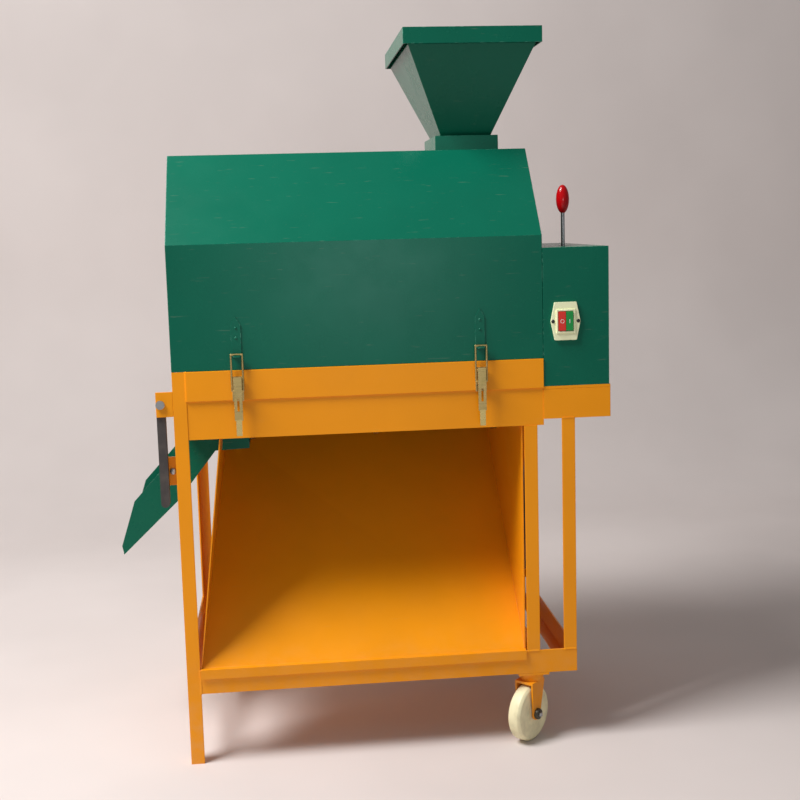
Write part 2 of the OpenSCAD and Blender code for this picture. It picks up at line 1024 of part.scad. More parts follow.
module drum_core() {
    color(steel)
        placed()
            difference() {
                bar_x(drum_x0 + core_inset, drum_x1, mid_y, drum_z, core_r);
                bar_x(drum_x0, drum_x1 + over, mid_y, drum_z, shaft_r + run_fit);
            }
}

// Beater bars with round edges, seated on the core
module drum_bars() {
    x0 = drum_x0 + core_inset * 2;
    x1 = drum_x1 - core_inset;
    color(dark)
        placed()
            translate([0, mid_y, drum_z])
                difference() {
                    for (i = [0 : bar_count - 1])
                        rotate([360 * i / bar_count, 0, 0]) {
                            block([x0, -bar_half, core_r / 2], [x1, bar_half, beater_r - bar_half]);
                            bar_x(x0, x1, 0, beater_r - bar_half, bar_half);
                        }
                    bar_x(x0 - over, x1 + over, 0, 0, core_r);
                }
}

latch_t = 1.5;
latch_stand = 7;
latch_drop = 14;
latch_pivot_y = -band_proud - latch_stand;
latch_pivot_z = deck_z - latch_drop;
latch_throw = 18;
latch_pin_r = 2;
latch_head = 4.5;
ear_half = 4.5;
ear_r = 4.6;
base_half = 9;
base_h = 40;
latch_left_x = latch_inset;
latch_right_x = frame_len - latch_inset;
latch_face_y = -band_proud - latch_t;
side_out = latch_w / 2;

// Base of a latch on the trough band: a plate, two ears and the pivot pin
module latch_base(x) {
    block([x - base_half, latch_face_y, latch_pivot_z + latch_head - base_h],
          [x + base_half, -band_proud, latch_pivot_z + latch_head]);
    for (side = [-1, 1])
        translate([x + side * (ear_half - latch_t / 2) - latch_t / 2, 0, 0]) {
            bar_x(0, latch_t, latch_pivot_y, latch_pivot_z, ear_r);
            block([0, latch_pivot_y, latch_pivot_z - ear_r], [latch_t, latch_face_y, latch_pivot_z]);
        }
    bar_x(x - side_out - over / 2, x + side_out + over / 2, latch_pivot_y, latch_pivot_z, latch_pin_r);
}

module latch_bases() {
    color(zinc)
        placed() {
            latch_base(latch_left_x);
            latch_base(latch_right_x);
        }
}

lever_face_y = latch_pivot_y - ear_r - gap;
latch_slot_half = 1.8;
latch_slot_top = 40;
latch_slot_len = 21;
tab_half = 4.6;
tab_len = 24;
tab_out = 2;

// Latch lever: a channel with a slot in its face and a bent tab to lift it by
module latch_lever(x) {
    z0 = latch_pivot_z + latch_head - latch_len;
    wire_z = latch_pivot_z - latch_throw;
    difference() {
        union() {
            block([x - side_out, lever_face_y - latch_t, z0],
                  [x + side_out, lever_face_y, latch_pivot_z + latch_head]);
            for (side = [-1, 1])
                translate([x + side * (side_out - latch_t / 2) - latch_t / 2, 0, 0]) {
                    bar_x(0, latch_t, latch_pivot_y, latch_pivot_z, latch_head);
                    block([0, lever_face_y - latch_t / 2, wire_z - latch_head],
                          [latch_t, latch_pivot_y + latch_head / 2, latch_pivot_z]);
                }
            along_x(x - tab_half, x + tab_half)
                polygon([
                    [lever_face_y - latch_t, z0 + latch_t], [lever_face_y, z0 + latch_t],
                    [lever_face_y - tab_out, z0 - tab_len], [lever_face_y - tab_out - latch_t, z0 - tab_len]
                ]);
        }
        bar_x(x - latch_w, x + latch_w, latch_pivot_y, latch_pivot_z, latch_pin_r + run_fit);
        bar_x(x - latch_w, x + latch_w, latch_pivot_y, wire_z, wire_r + run_fit);
        block([x - latch_slot_half, lever_face_y - latch_w,
               latch_pivot_z - latch_slot_top - latch_slot_len / 2],
              [x + latch_slot_half, lever_face_y + over,
               latch_pivot_z - latch_slot_top + latch_slot_len / 2]);
    }
}

module left_latch_lever() {
    color(zinc)
        placed()
            latch_lever(latch_left_x);
}

module right_latch_lever() {
    color(zinc)
        placed()
            latch_lever(latch_right_x);
}

bail_h = 58;

// Closed loop of wire: its lower rung turns in the lever, its upper one hooks the keeper
module bail(x) {
    z0 = latch_pivot_z - latch_throw;
    half = bail_w / 2 - wire_r;
    for (z = [z0, z0 + bail_h])
        bar_x(x - half, x + half, latch_pivot_y, z, wire_r);
    for (side = [-1, 1])
        translate([x + side * half, latch_pivot_y, z0]) {
            cylinder(h = bail_h, r = wire_r);
            sphere(wire_r);
            translate([0, 0, bail_h])
                sphere(wire_r);
        }
}

module left_bail() {
    color(zinc)
        placed()
            bail(latch_left_x);
}

module right_bail() {
    color(zinc)
        placed()
            bail(latch_right_x);
}

keeper_half = 8;
keeper_point = 14;
tongue_half = 5.5;
tongue_t = 2.5;
tongue_out = 13;

// Keeper on the hood: a pointed plate with a tongue for the bail
module keeper(x) {
    z0 = latch_pivot_z - latch_throw + bail_h - wire_r - gap;
    along_y(-latch_t, 0)
        polygon([
            [x - keeper_half, z0 - tongue_t], [x + keeper_half, z0 - tongue_t],
            [x + keeper_half, z0 + keeper_h - keeper_point], [x, z0 + keeper_h],
            [x - keeper_half, z0 + keeper_h - keeper_point]
        ]);
    block([x - tongue_half, -tongue_out, z0 - tongue_t], [x + tongue_half, 0, z0]);
}

module hood_keepers() {
    color(green)
        placed() {
            keeper(latch_left_x);
            keeper(latch_right_x);
        }
}

grip_out = 20;
grip_tail = 18;
grip_t = 12;
grip_drop = 3;
grip_z = band_z - grip_drop;
lug_t = 3.5;
lug_half = 20;
grip_y0 = lug_t + gap;
grip_bolt_r = 4;
grip_head_r = 7;
grip_head_t = 4;
rest_lug_w = 14;
rest_lug_h = 46;
rest_lug_share = 0.72;
rest_lug_z = grip_z - grip_len * rest_lug_share;
grip_y1 = grip_y0 + grip_t;

// Lugs welded to a left leg: one for the grip's bolt, one that the grip hangs against
module leg_lugs() {
    difference() {
        block([-grip_out - grip_head_r, 0, grip_z - lug_half], [0, lug_t, grip_z + lug_half]);
        bar_y(-over, lug_t + over, -grip_out, grip_z, grip_bolt_r + run_fit);
    }
    block([-rest_lug_w, grip_y1 + gap, rest_lug_z], [0, angle_w, rest_lug_z + rest_lug_h]);
}

module grip_lugs() {
    color(orange)
        placed()
            at_both_sides()
                leg_lugs();
}

module grip_bolts() {
    color(steel)
        placed()
            at_both_sides() {
                bar_y(-grip_head_t, grip_y1 + gap, -grip_out, grip_z, grip_bolt_r);
                bar_y(-grip_head_t, 0, -grip_out, grip_z, grip_head_r);
                bar_y(grip_y1 + gap, grip_y1 + gap + grip_head_t, -grip_out, grip_z, grip_head_r);
            }
}

// Folding carrying grip, hanging down from its bolt
module grip() {
    difference() {
        union() {
            block([-grip_out - grip_w / 2, grip_y0, grip_z + grip_tail - grip_len + grip_w / 2],
                  [-grip_out + grip_w / 2, grip_y1, grip_z + grip_tail - grip_w / 2]);
            for (z = [grip_z + grip_tail - grip_len + grip_w / 2, grip_z + grip_tail - grip_w / 2])
                bar_y(grip_y0, grip_y1, -grip_out, z, grip_w / 2);
        }
        bar_y(grip_y0 - over, grip_y1 + over, -grip_out, grip_z, grip_bolt_r + run_fit);
    }
}

module front_grip() {
    color(dark)
        placed()
            grip();
}

module rear_grip() {
    color(dark)
        placed()
            translate([0, frame_depth, 0])
                mirror([0, 1, 0])
                    grip();
}

hinge_shares = [0.2, 0.8];
hinge_len = 60;
hinge_pin_r = 2.5;
hinge_leaf_t = 2;
frame_leaf_h = 32;
hood_leaf_h = 40;
knuckle_share = 0.3;
knuckle = hinge_len * knuckle_share;

// Frame half of a hinge: a leaf on the rear band and two outer knuckles
module frame_leaf(x) {
    band_y = frame_depth + band_proud;
    difference() {
        union() {
            block([x, band_y, deck_z - frame_leaf_h],
                  [x + hinge_len, band_y + hinge_leaf_t, deck_z - hinge_r - over]);
            for (x0 = [x, x + hinge_len - knuckle]) {
                block([x0, band_y, deck_z - frame_leaf_h], [x0 + knuckle, band_y + hinge_leaf_t, deck_z]);
                bar_x(x0, x0 + knuckle, hinge_y, deck_z, hinge_r);
            }
        }
        bar_x(x - over, x + hinge_len + over, hinge_y, deck_z, hinge_pin_r + run_fit);
    }
}

module hinge_frame_leaves() {
    color(steel)
        placed()
            for (share = hinge_shares)
                frame_leaf(frame_len * share - hinge_len / 2);
}

module hinge_pins() {
    color(steel)
        placed()
            for (share = hinge_shares)
                bar_x(frame_len * share - hinge_len / 2 - loose, frame_len * share + hinge_len / 2 + loose,
                      hinge_y, deck_z, hinge_pin_r);
}

// Hood half of a hinge: a leaf on the hood's rear panel and the middle knuckle
module hood_leaf(x) {
    x0 = x + knuckle + gap;
    x1 = x + hinge_len - knuckle - gap;
    difference() {
        union() {
            block([x, frame_depth, hood_z],
                  [x + hinge_len, frame_depth + hinge_leaf_t, hood_z + hood_leaf_h]);
            bar_x(x0, x1, hinge_y, deck_z, hinge_r);
            block([x0, frame_depth, deck_z + hinge_pin_r], [x1, hinge_y, deck_z + hinge_r]);
        }
        bar_x(x - over, x + hinge_len + over, hinge_y, deck_z, hinge_pin_r + run_fit);
    }
}

module hinge_hood_leaves() {
    color(green)
        placed()
            for (share = hinge_shares)
                hood_leaf(frame_len * share - hinge_len / 2);
}

notch_half = shaft_r + loose * 3;
hopper_x = frame_len - hopper_inset;

// Bent sheet from the front seat over the roof to the rear seat
hood_line = [
    [frame_depth, hood_z], [frame_depth, bend_z], [frame_depth - hood_slope_run, roof_z],
    [hood_slope_run, roof_z], [0, bend_z], [0, hood_z]
];

// Hood with its two end panels, open at the bottom, with a notch for the drum's shaft
module hood_shell() {
    color(green)
        placed()
            difference() {
                union() {
                    along_x(0, frame_len)
                        bent(hood_line, sheet_t);
                    for (x = [0, frame_len - sheet_t])
                        along_x(x, x + sheet_t)
                            polygon(hood_line);
                }
                block([frame_len - sheet_t - over, mid_y - notch_half, hood_z - over],
                      [frame_len + over, mid_y + notch_half, drum_z + notch_half]);
                block([hopper_x - throat_len / 2, mid_y - throat_width / 2, roof_z - sheet_t - over],
                      [hopper_x + throat_len / 2, mid_y + throat_width / 2, roof_z + over]);
            }
}

collar_len = throat_len + collar_lip * 2;
collar_width = throat_width + collar_lip * 2;
collar_t = 3;
cone_z = roof_z + collar_h;

// Collar of angle section between the hood's roof and the hopper
module hopper_collar() {
    color(green)
        placed()
            translate([hopper_x, mid_y, roof_z])
                difference() {
                    translate([-collar_len / 2, -collar_width / 2, 0])
                        cube([collar_len, collar_width, collar_h]);
                    translate([-collar_len / 2 + collar_t, -collar_width / 2 + collar_t, -over])
                        cube([collar_len - collar_t * 2, collar_width - collar_t * 2,
                              collar_h - collar_t + over]);
                    translate([-throat_len / 2, -throat_width / 2, 0])
                        cube([throat_len, throat_width, collar_h + over]);
                }
}

// Four-sided funnel of the given sizes at its foot and its mouth
module funnel(foot, mouth, h) {
    linear_extrude(h, scale = [mouth[0] / foot[0], mouth[1] / foot[1]])
        square(foot, center = true);
}

// Feed hopper: a funnel with an upright rim that is turned out and down
module hopper() {
    walls = [sheet_t, sheet_t] * 2;
    foot = [throat_len, throat_width] + walls;
    mouth = [rim_len, rim_width] - [rim_lip, rim_lip] * 2;
    rim = [rim_len, rim_width];
    color(green)
        placed()
            translate([hopper_x, mid_y, cone_z])
                difference() {
                    union() {
                        funnel(foot, mouth, cone_h);
                        translate([0, 0, cone_h])
                            difference() {
                                linear_extrude(rim_h)
                                    square(rim, center = true);
                                translate([0, 0, -over])
                                    linear_extrude(rim_h - sheet_t + over)
                                        difference() {
                                            square(rim - walls, center = true);
                                            square(mouth, center = true);
                                        }
                            }
                    }
                    funnel(foot - walls, mouth - walls, cone_h);
                    translate([0, 0, cone_h - over])
                        linear_extrude(rim_h + over * 2)
                            square(mouth - walls, center = true);
                }
}

caster_x = post_x + angle_w / 2;
caster_plate_half = 26;
caster_plate_t = 4;
race_r = 20;
crown_t = 4;
king_r = 6;
crown_z = wheel_r * 2 + loose * 2;
axle_r = 5;
leg_t = 3;
leg_gap = 1.5;
leg_half = 13;
leg_foot_r = 11;
axle_head_r = 8;
axle_head_t = 5;
hub_r = 20;
hub_t = 1;
race_z = crown_z + crown_t;

// Put a caster's piece at its swivel, in the frame of the front caster
module at_caster() {
    translate([caster_x, caster_y, 0])
        children();
}

// Fixed part of a caster: its plate under the rail, the upper race and the king pin
module caster_top() {
    at_caster() {
        translate([-caster_plate_half, -caster_y, rail_z - caster_plate_t])
            cube([caster_plate_half * 2, caster_y * 2, caster_plate_t]);
        translate([0, 0, race_z + gap])
            cylinder(h = rail_z - race_z - gap, r = race_r);
        translate([0, 0, crown_z])
            cylinder(h = rail_z - crown_z, r = king_r);
    }
}

module caster_plates() {
    color(orange)
        placed()
            at_both_sides()
                caster_top();
}

// Put a piece in the frame of the turned wheel, its axle across
module at_wheel() {
    at_caster()
        rotate([0, 0, caster_turn])
            translate([-caster_trail, 0, wheel_r])
                children();
}

// Swivelling fork with its crown, two legs and the axle bolt
module caster_fork() {
    leg_y = wheel_w / 2 + hub_t + leg_gap;
    crown_half = leg_y + leg_t;
    difference() {
        union() {
            at_wheel() {
                translate([-leg_half, -crown_half, crown_z - wheel_r])
                    cube([leg_half * 2 + caster_trail, crown_half * 2, crown_t]);
                for (y = [-crown_half, leg_y])
                    along_y(y, y + leg_t) {
                        circle(leg_foot_r);
                        polygon([
                            [-leg_foot_r, 0], [leg_foot_r, 0], [leg_half + caster_trail, crown_z - wheel_r],
                            [-leg_half, crown_z - wheel_r]
                        ]);
                    }
                bar_y(-crown_half, crown_half, 0, 0, axle_r);
                for (y = [-crown_half - axle_head_t, crown_half])
                    translate([0, y, 0])
                        rotate([-90, 0, 0])
                            cylinder(h = axle_head_t, r = axle_head_r, $fn = 6);
            }
        }
        at_caster()
            translate([0, 0, crown_z - over])
                cylinder(h = crown_t + over * 2, r = king_r + run_fit);
    }
}

module front_caster_fork() {
    color(orange)
        placed()
            caster_fork();
}

// Put a piece of the front caster under the rear rail, turned the same way
module at_rear_caster() {
    translate([0, frame_depth - caster_y * 2, 0])
        children();
}

module rear_caster_fork() {
    color(orange)
        placed()
            at_rear_caster()
                caster_fork();
}

tread_round = 4;

// Wheel with rounded shoulders, a hub and a bore for the axle
module caster_wheel() {
    half = wheel_w / 2;
    at_wheel()
        rotate([-90, 0, 0])
            rotate_extrude($fn = 96)
                polygon([
                    [axle_r + run_fit, -half - hub_t], [hub_r, -half - hub_t], [hub_r, -half],
                    [wheel_r - tread_round, -half], [wheel_r, -half + tread_round],
                    [wheel_r, half - tread_round], [wheel_r - tread_round, half], [hub_r, half],
                    [hub_r, half + hub_t], [axle_r + run_fit, half + hub_t]
                ]);
}

module front_caster_wheel() {
    color(cream)
        placed()
            caster_wheel();
}

module rear_caster_wheel() {
    color(cream)
        placed()
            at_rear_caster()
                caster_wheel();
}

front_left_leg();
rear_left_leg();
right_posts();
outer_posts();
lower_rails();
cross_rails();
upper_rails();
trough_bands();
left_end_plate();
right_end_plate();
concave_screen();
screen_ribs();
husk_chute();
nut_spout();
drive_shelf();
shelf_rails();
drive_box();
bearing_housings();
fasteners();
switch_plate();
switch_body();
cable_gland();
motor_body();
motor_fan_cover();
motor_base();
v_belt();
rocker_brackets();
latch_bases();
grip_lugs();
grip_bolts();
hinge_frame_leaves();
hinge_pins();
caster_plates();
hood_shell();
hopper();
hopper_collar();
hood_keepers();
hinge_hood_leaves();
drum_shaft();
drum_core();
drum_bars();
clutch_sleeve();
drum_pulley();
motor_shaft();
motor_pulley();
lever_rod();
lever_knob();
shift_fork();
stop_button();
start_button();
left_latch_lever();
right_latch_lever();
left_bail();
right_bail();
front_grip();
rear_grip();
front_caster_fork();
rear_caster_fork();
front_caster_wheel();
rear_caster_wheel();
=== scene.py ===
"""Finishes, small fittings and stage of a walnut huller, laid out as an add-on and run as a script."""
import json
import math

import bmesh
import bpy
from mathutils import Matrix, Vector


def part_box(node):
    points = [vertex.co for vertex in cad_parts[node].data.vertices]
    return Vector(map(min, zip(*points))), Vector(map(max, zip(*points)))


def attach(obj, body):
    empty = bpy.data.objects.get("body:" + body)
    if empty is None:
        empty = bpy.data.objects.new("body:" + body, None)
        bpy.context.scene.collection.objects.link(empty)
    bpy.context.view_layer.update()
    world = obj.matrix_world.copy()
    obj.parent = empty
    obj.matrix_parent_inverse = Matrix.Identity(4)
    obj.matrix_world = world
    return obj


bl_info = {
    "name": "Walnut Huller",
    "version": (1, 0, 0),
    "blender": (4, 5, 0),
    "location": "3D View > Sidebar > Huller",
    "description": "Paints the huller's solids, adds its small fittings and sets its stage",
    "category": "Add Mesh",
}

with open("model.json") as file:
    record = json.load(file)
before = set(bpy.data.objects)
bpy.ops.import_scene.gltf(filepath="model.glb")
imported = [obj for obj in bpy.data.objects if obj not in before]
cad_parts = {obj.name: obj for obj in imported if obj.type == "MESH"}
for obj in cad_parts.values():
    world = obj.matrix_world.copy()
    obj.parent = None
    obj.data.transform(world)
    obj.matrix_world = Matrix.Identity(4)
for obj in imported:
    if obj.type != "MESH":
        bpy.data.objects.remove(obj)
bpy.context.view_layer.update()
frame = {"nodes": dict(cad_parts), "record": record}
NODES = frame["nodes"]
MM = 0.001
FRONT, REAR, RIGHT, UP = (0, -1, 0), (0, 1, 0), (1, 0, 0), (0, 0, 1)


def srgb(r, g, b):
    """Linear colour of an 8-bit sRGB one."""
    return tuple((v / 255 / 12.92) if v <= 10 else ((v / 255 + 0.055) / 1.055) ** 2.4 for v in (r, g, b))


def node_box(name):
    """Lowest and highest corner of a solid, as vectors."""
    low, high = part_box(name)
    return Vector(low), Vector(high)


# Sizes and colours that a user would change

def colour(label, words, value):
    """Colour that the sidebar shows."""
    return bpy.props.FloatVectorProperty(name=label, description=words, subtype="COLOR", size=3, min=0, max=1,
                                         default=value)


def length(label, words, value):
    """Length that the sidebar shows."""
    return bpy.props.FloatProperty(name=label, description=words, subtype="DISTANCE", unit="LENGTH", min=0,
                                   precision=4, default=value)


class HullerColours(bpy.types.PropertyGroup):
    """Colours of the huller's finishes"""
    frame_orange: colour("Frame orange", "Paint of the frame and the chute", srgb(250, 158, 16))
    hood_green: colour("Hood green", "Paint of the hood, the hopper and the drive box", srgb(8, 99, 76))
    grip_black: colour("Grip black", "Bar of the folding grips", srgb(62, 57, 56))
    wheel_cream: colour("Wheel cream", "Cast wheels of the casters", srgb(240, 232, 190))
    plate_cream: colour("Plate cream", "Moulded plate round the push buttons", srgb(250, 253, 208))
    knob_red: colour("Knob red", "Moulded knob of the clutch lever", srgb(184, 6, 14))
    stop_red: colour("Stop red", "Stop button", srgb(222, 48, 36))
    start_green: colour("Start green", "Start button", srgb(14, 148, 66))
    latch_zinc: colour("Latch zinc", "Yellow passivated zinc of the latches", srgb(204, 180, 120))
    steel_grey: colour("Steel grey", "Bare steel of shafts, rods and bolts", srgb(178, 180, 182))
    iron_grey: colour("Iron grey", "Cast iron and the motor's paint", srgb(78, 84, 86))


class HullerSizes(bpy.types.PropertyGroup):
    """Sizes of the fittings and of the edges"""
    edge_radius: length("Edge radius", "Rounding along the edges of sheet and angle iron", 0.6 * MM)
    small_edge: length("Small edge", "Rounding along the edges of small fittings", 0.3 * MM)
    bead_width: length("Bead width", "Width of a weld bead", 4.2 * MM)
    bead_step: length("Bead step", "Distance between the ripples of a weld", 2.6 * MM)
    rivet_radius: length("Rivet radius", "Radius of a rivet's head", 2.1 * MM)
    fin_height: length("Fin height", "How far the motor's cooling fins stand out", 6 * MM)
    fin_count: bpy.props.IntProperty(name="Fin count", description="Cooling fins round the motor",
                                     min=8, max=60, default=34)
    hub_cap_radius: length("Hub cap radius", "Dark cap over each end of an axle", 9.2 * MM)


def colours():
    """Colours as the sidebar has them."""
    return bpy.context.scene.huller_colours


def sizes():
    """Sizes as the sidebar has them."""
    return bpy.context.scene.huller_sizes


# Shader groups

def new_group(name, inputs, outputs):
    """Empty shader group with its sockets, and its input and output nodes."""
    group = bpy.data.node_groups.new(name, "ShaderNodeTree")
    for label, kind, value in inputs:
        socket = group.interface.new_socket(label, in_out="INPUT", socket_type=kind)
        socket.default_value = value
    for label, kind in outputs:
        group.interface.new_socket(label, in_out="OUTPUT", socket_type=kind)
    source = group.nodes.new("NodeGroupInput")
    sink = group.nodes.new("NodeGroupOutput")
    return group, source, sink


# Sockets of a Mix node that hold colours
MIX_A, MIX_B, MIX_RESULT = 6, 7, 2


class Wires:
    """Short way to add nodes to a tree and join them."""

    def __init__(self, tree):
        self.tree = tree

    def add(self, kind, **settings):
        """New node with its settings."""
        node = self.tree.nodes.new(kind)
        for key, value in settings.items():
            setattr(node, key, value)
        return node

    def join(self, a, b):
        """Link from an output to an input."""
        self.tree.links.new(a, b)

    def put(self, value, socket):
        """Join a socket to an input, or set anything else on it."""
        if isinstance(value, bpy.types.NodeSocket):
            self.join(value, socket)
        else:
            socket.default_value = value

    def feed(self, node, **values):
        """Put values on inputs by name."""
        for key, value in values.items():
            self.put(value, node.inputs[key.replace("_", " ")])

    def maths(self, operation, a, b, clamp=False):
        """Result of one sum on two values."""
        node = self.add("ShaderNodeMath", operation=operation, use_clamp=clamp)
        self.put(a, node.inputs[0])
        self.put(b, node.inputs[1])
        return node.outputs[0]

    def remap(self, value, low, high, out_low=0.0, out_high=1.0):
        """Value moved from one range to another, and kept inside it."""
        node = self.add("ShaderNodeMapRange")
        self.feed(node, Value=value, From_Min=low, From_Max=high, To_Min=out_low, To_Max=out_high)
        return node.outputs["Result"]

    def blend(self, factor, a, b):
        """Mix of two colours."""
        node = self.add("ShaderNodeMix", data_type="RGBA")
        self.put(factor, node.inputs["Factor"])
        for tint, place in ((a, MIX_A), (b, MIX_B)):
            self.put((*tint, 1) if isinstance(tint, tuple) else tint, node.inputs[place])
        return node.outputs[MIX_RESULT]

    def noise(self, scale, detail, vector):
        """Cloudy values from 0 to 1."""
        node = self.add("ShaderNodeTexNoise")
        self.feed(node, Scale=scale, Detail=detail, Roughness=0.55, Vector=vector)
        return node.outputs["Fac"]

    def place(self, scale=(1, 1, 1)):
        """Object coordinates, stretched."""
        where = self.add("ShaderNodeTexCoord")
        mapping = self.add("ShaderNodeMapping")
        self.join(where.outputs["Object"], mapping.inputs["Vector"])
        mapping.inputs["Scale"].default_value = scale
        return mapping.outputs["Vector"]


def edge_mask_group():
    """Mask of the edges, broken up by noise: worn paint, and on the green paint also a painted highlight
    along the bends.
    """
    group, source, sink = new_group(
        "edge_mask", [("Radius", "NodeSocketFloat", 1.5 * MM), ("Rub And Highlight", "NodeSocketFloat", 0.5)],
        [("Mask", "NodeSocketFloat")])
    w = Wires(group)
    bevel = w.add("ShaderNodeBevel", samples=4)
    w.join(source.outputs["Radius"], bevel.inputs["Radius"])
    facing = w.add("ShaderNodeNewGeometry")
    dot = w.add("ShaderNodeVectorMath", operation="DOT_PRODUCT")
    w.join(bevel.outputs["Normal"], dot.inputs[0])
    w.join(facing.outputs["Normal"], dot.inputs[1])
    edge = w.remap(dot.outputs["Value"], 0.985, 0.86)
    chips = w.remap(w.noise(95, 4, w.place()), 0.5, 0.68)
    rubbed_and_highlit = w.maths("MULTIPLY", edge, chips)
    w.join(w.maths("MULTIPLY", rubbed_and_highlit, source.outputs["Rub And Highlight"], clamp=True), sink.inputs["Mask"])
    return group


def paint_group():
    """Sprayed paint: slow change of tone, fine orange peel, faint scratches and dust near the floor."""
    group, source, sink = new_group(
        "sprayed_paint",
        [("Color", "NodeSocketColor", (1, 1, 1, 1)), ("Deep", "NodeSocketColor", (0, 0, 0, 1)),
         ("Tone", "NodeSocketFloat", 0.5), ("Gloss Low", "NodeSocketFloat", 0.3),
         ("Gloss High", "NodeSocketFloat", 0.45), ("Dust", "NodeSocketFloat", 0.3)],
        [("Color", "NodeSocketColor"), ("Roughness", "NodeSocketFloat"), ("Height", "NodeSocketFloat")])
    w = Wires(group)
    slow = w.remap(w.noise(4.5, 4, w.place()), 0.35, 0.7)
    tone = w.maths("MULTIPLY", slow, source.outputs["Tone"])
    toned = w.blend(tone, source.outputs["Color"], source.outputs["Deep"])
    scratch = w.remap(w.noise(26, 2, w.place((1, 9, 14))), 0.69, 0.76)
    speck = w.remap(w.noise(410, 1, w.place()), 0.72, 0.8)
    where = w.add("ShaderNodeTexCoord")
    split = w.add("ShaderNodeSeparateXYZ")
    w.join(where.outputs["Object"], split.inputs["Vector"])
    low = w.remap(split.outputs["Z"], 0.2, 0.0)
    dust = w.maths("MULTIPLY", low, w.remap(w.noise(38, 5, w.place()), 0.4, 0.72))
    dust = w.maths("MULTIPLY", dust, source.outputs["Dust"])
    marks = w.maths("ADD", w.maths("MULTIPLY", scratch, 0.2), w.maths("MULTIPLY", speck, 0.06))
    pale = w.maths("ADD", dust, w.maths("MULTIPLY", marks, source.outputs["Dust"]), clamp=True)
    w.join(w.blend(pale, toned, srgb(196, 186, 170)), sink.inputs["Color"])
    rough = w.remap(w.noise(21, 4, w.place()), 0.35, 0.68, source.outputs["Gloss Low"],
                    source.outputs["Gloss High"])
    w.join(w.maths("ADD", rough, w.maths("MULTIPLY", dust, 0.3), clamp=True), sink.inputs["Roughness"])
    peel = w.noise(330, 2, w.place())
    dents = w.noise(9, 2, w.place())
    w.join(w.maths("ADD", w.maths("MULTIPLY", peel, 0.22), dents), sink.inputs["Height"])
    return group


def metal_group():
    """Drawn or turned metal: fine lines along the machine, cloudy tarnish."""
    group, source, sink = new_group(
        "drawn_metal",
        [("Color", "NodeSocketColor", (0.6, 0.6, 0.6, 1)),
         ("Tarnish", "NodeSocketColor", (0.2, 0.18, 0.15, 1)),
         ("Amount", "NodeSocketFloat", 0.4), ("Gloss Low", "NodeSocketFloat", 0.22),
         ("Gloss High", "NodeSocketFloat", 0.42)],
        [("Color", "NodeSocketColor"), ("Roughness", "NodeSocketFloat"), ("Height", "NodeSocketFloat")])
    w = Wires(group)
    lines = w.noise(60, 3, w.place((0.5, 14, 14)))
    clouds = w.remap(w.noise(48, 5, w.place()), 0.42, 0.68)
    tarnish = w.maths("MULTIPLY", clouds, source.outputs["Amount"], clamp=True)
    w.join(w.blend(tarnish, source.outputs["Color"], source.outputs["Tarnish"]), sink.inputs["Color"])
    rough = w.remap(lines, 0.3, 0.7, source.outputs["Gloss Low"], source.outputs["Gloss High"])
    w.join(rough, sink.inputs["Roughness"])
    w.join(lines, sink.inputs["Height"])
    return group


def moulded_group():
    """Moulded plastic, rubber or cast metal: fine grain with cloudy dirt."""
    group, source, sink = new_group(
        "moulded_skin",
        [("Color", "NodeSocketColor", (1, 1, 1, 1)), ("Dirt", "NodeSocketColor", (0.2, 0.18, 0.14, 1)),
         ("Amount", "NodeSocketFloat", 0.25), ("Grain", "NodeSocketFloat", 500),
         ("Gloss Low", "NodeSocketFloat", 0.35), ("Gloss High", "NodeSocketFloat", 0.5)],
        [("Color", "NodeSocketColor"), ("Roughness", "NodeSocketFloat"), ("Height", "NodeSocketFloat")])
    w = Wires(group)
    clouds = w.remap(w.noise(34, 5, w.place()), 0.45, 0.75)
    dirt = w.maths("MULTIPLY", clouds, source.outputs["Amount"], clamp=True)
    w.join(w.blend(dirt, source.outputs["Color"], source.outputs["Dirt"]), sink.inputs["Color"])
    rough = w.remap(w.noise(55, 3, w.place()), 0.35, 0.65, source.outputs["Gloss Low"],
                    source.outputs["Gloss High"])
    w.join(rough, sink.inputs["Roughness"])
    w.join(w.noise(source.outputs["Grain"], 2, w.place()), sink.inputs["Height"])
    return group


# Materials

def shared(maker):
    """A shader group, built the first time it is asked for."""
    if maker.__name__ not in shared.made:
        shared.made[maker.__name__] = maker()
    return shared.made[maker.__name__]


shared.made = {}


def skin(maker, values, metallic=0.0, coat=0.0, bump=0.1, depth=0.4 * MM, edge_rub_and_highlight=None, specular=0.5,
         gloss_tint=(1, 1, 1)):
    """Material whose colour, roughness and bump come from a shader group, with a colour along its edges if
    asked: worn paint, and on the green paint also a painted highlight.
    """
    material = bpy.data.materials.new("skin")
    material.use_nodes = True
    tree = material.node_tree
    w = Wires(tree)
    bsdf = tree.nodes["Principled BSDF"]
    group = w.add("ShaderNodeGroup", node_tree=shared(maker))
    for key, value in values.items():
        group.inputs[key].default_value = (*value, 1) if isinstance(value, tuple) else value
    result = group.outputs["Color"]
    if edge_rub_and_highlight:
        edge_rub_and_highlight_colour, amount, radius = edge_rub_and_highlight
        edges = w.add("ShaderNodeGroup", node_tree=shared(edge_mask_group))
        edges.inputs["Rub And Highlight"].default_value = amount
        edges.inputs["Radius"].default_value = radius
        result = w.blend(edges.outputs["Mask"], result, edge_rub_and_highlight_colour)
    w.join(result, bsdf.inputs["Base Color"])
    w.join(group.outputs["Roughness"], bsdf.inputs["Roughness"])
    bsdf.inputs["Metallic"].default_value = metallic
    bsdf.inputs["Coat Weight"].default_value = coat
    bsdf.inputs["Coat Roughness"].default_value = 0.12
    bsdf.inputs["Specular IOR Level"].default_value = specular
    bsdf.inputs["Specular Tint"].default_value = (*gloss_tint, 1)
    relief = w.add("ShaderNodeBump")
    relief.inputs["Strength"].default_value = bump
    relief.inputs["Distance"].default_value = depth
    w.join(group.outputs["Height"], relief.inputs["Height"])
    w.join(relief.outputs["Normal"], bsdf.inputs["Normal"])
    return material


def shade(tint, share):
    """Darker tone of a colour."""
    return tuple(v * share for v in tint)


MAKERS = {}


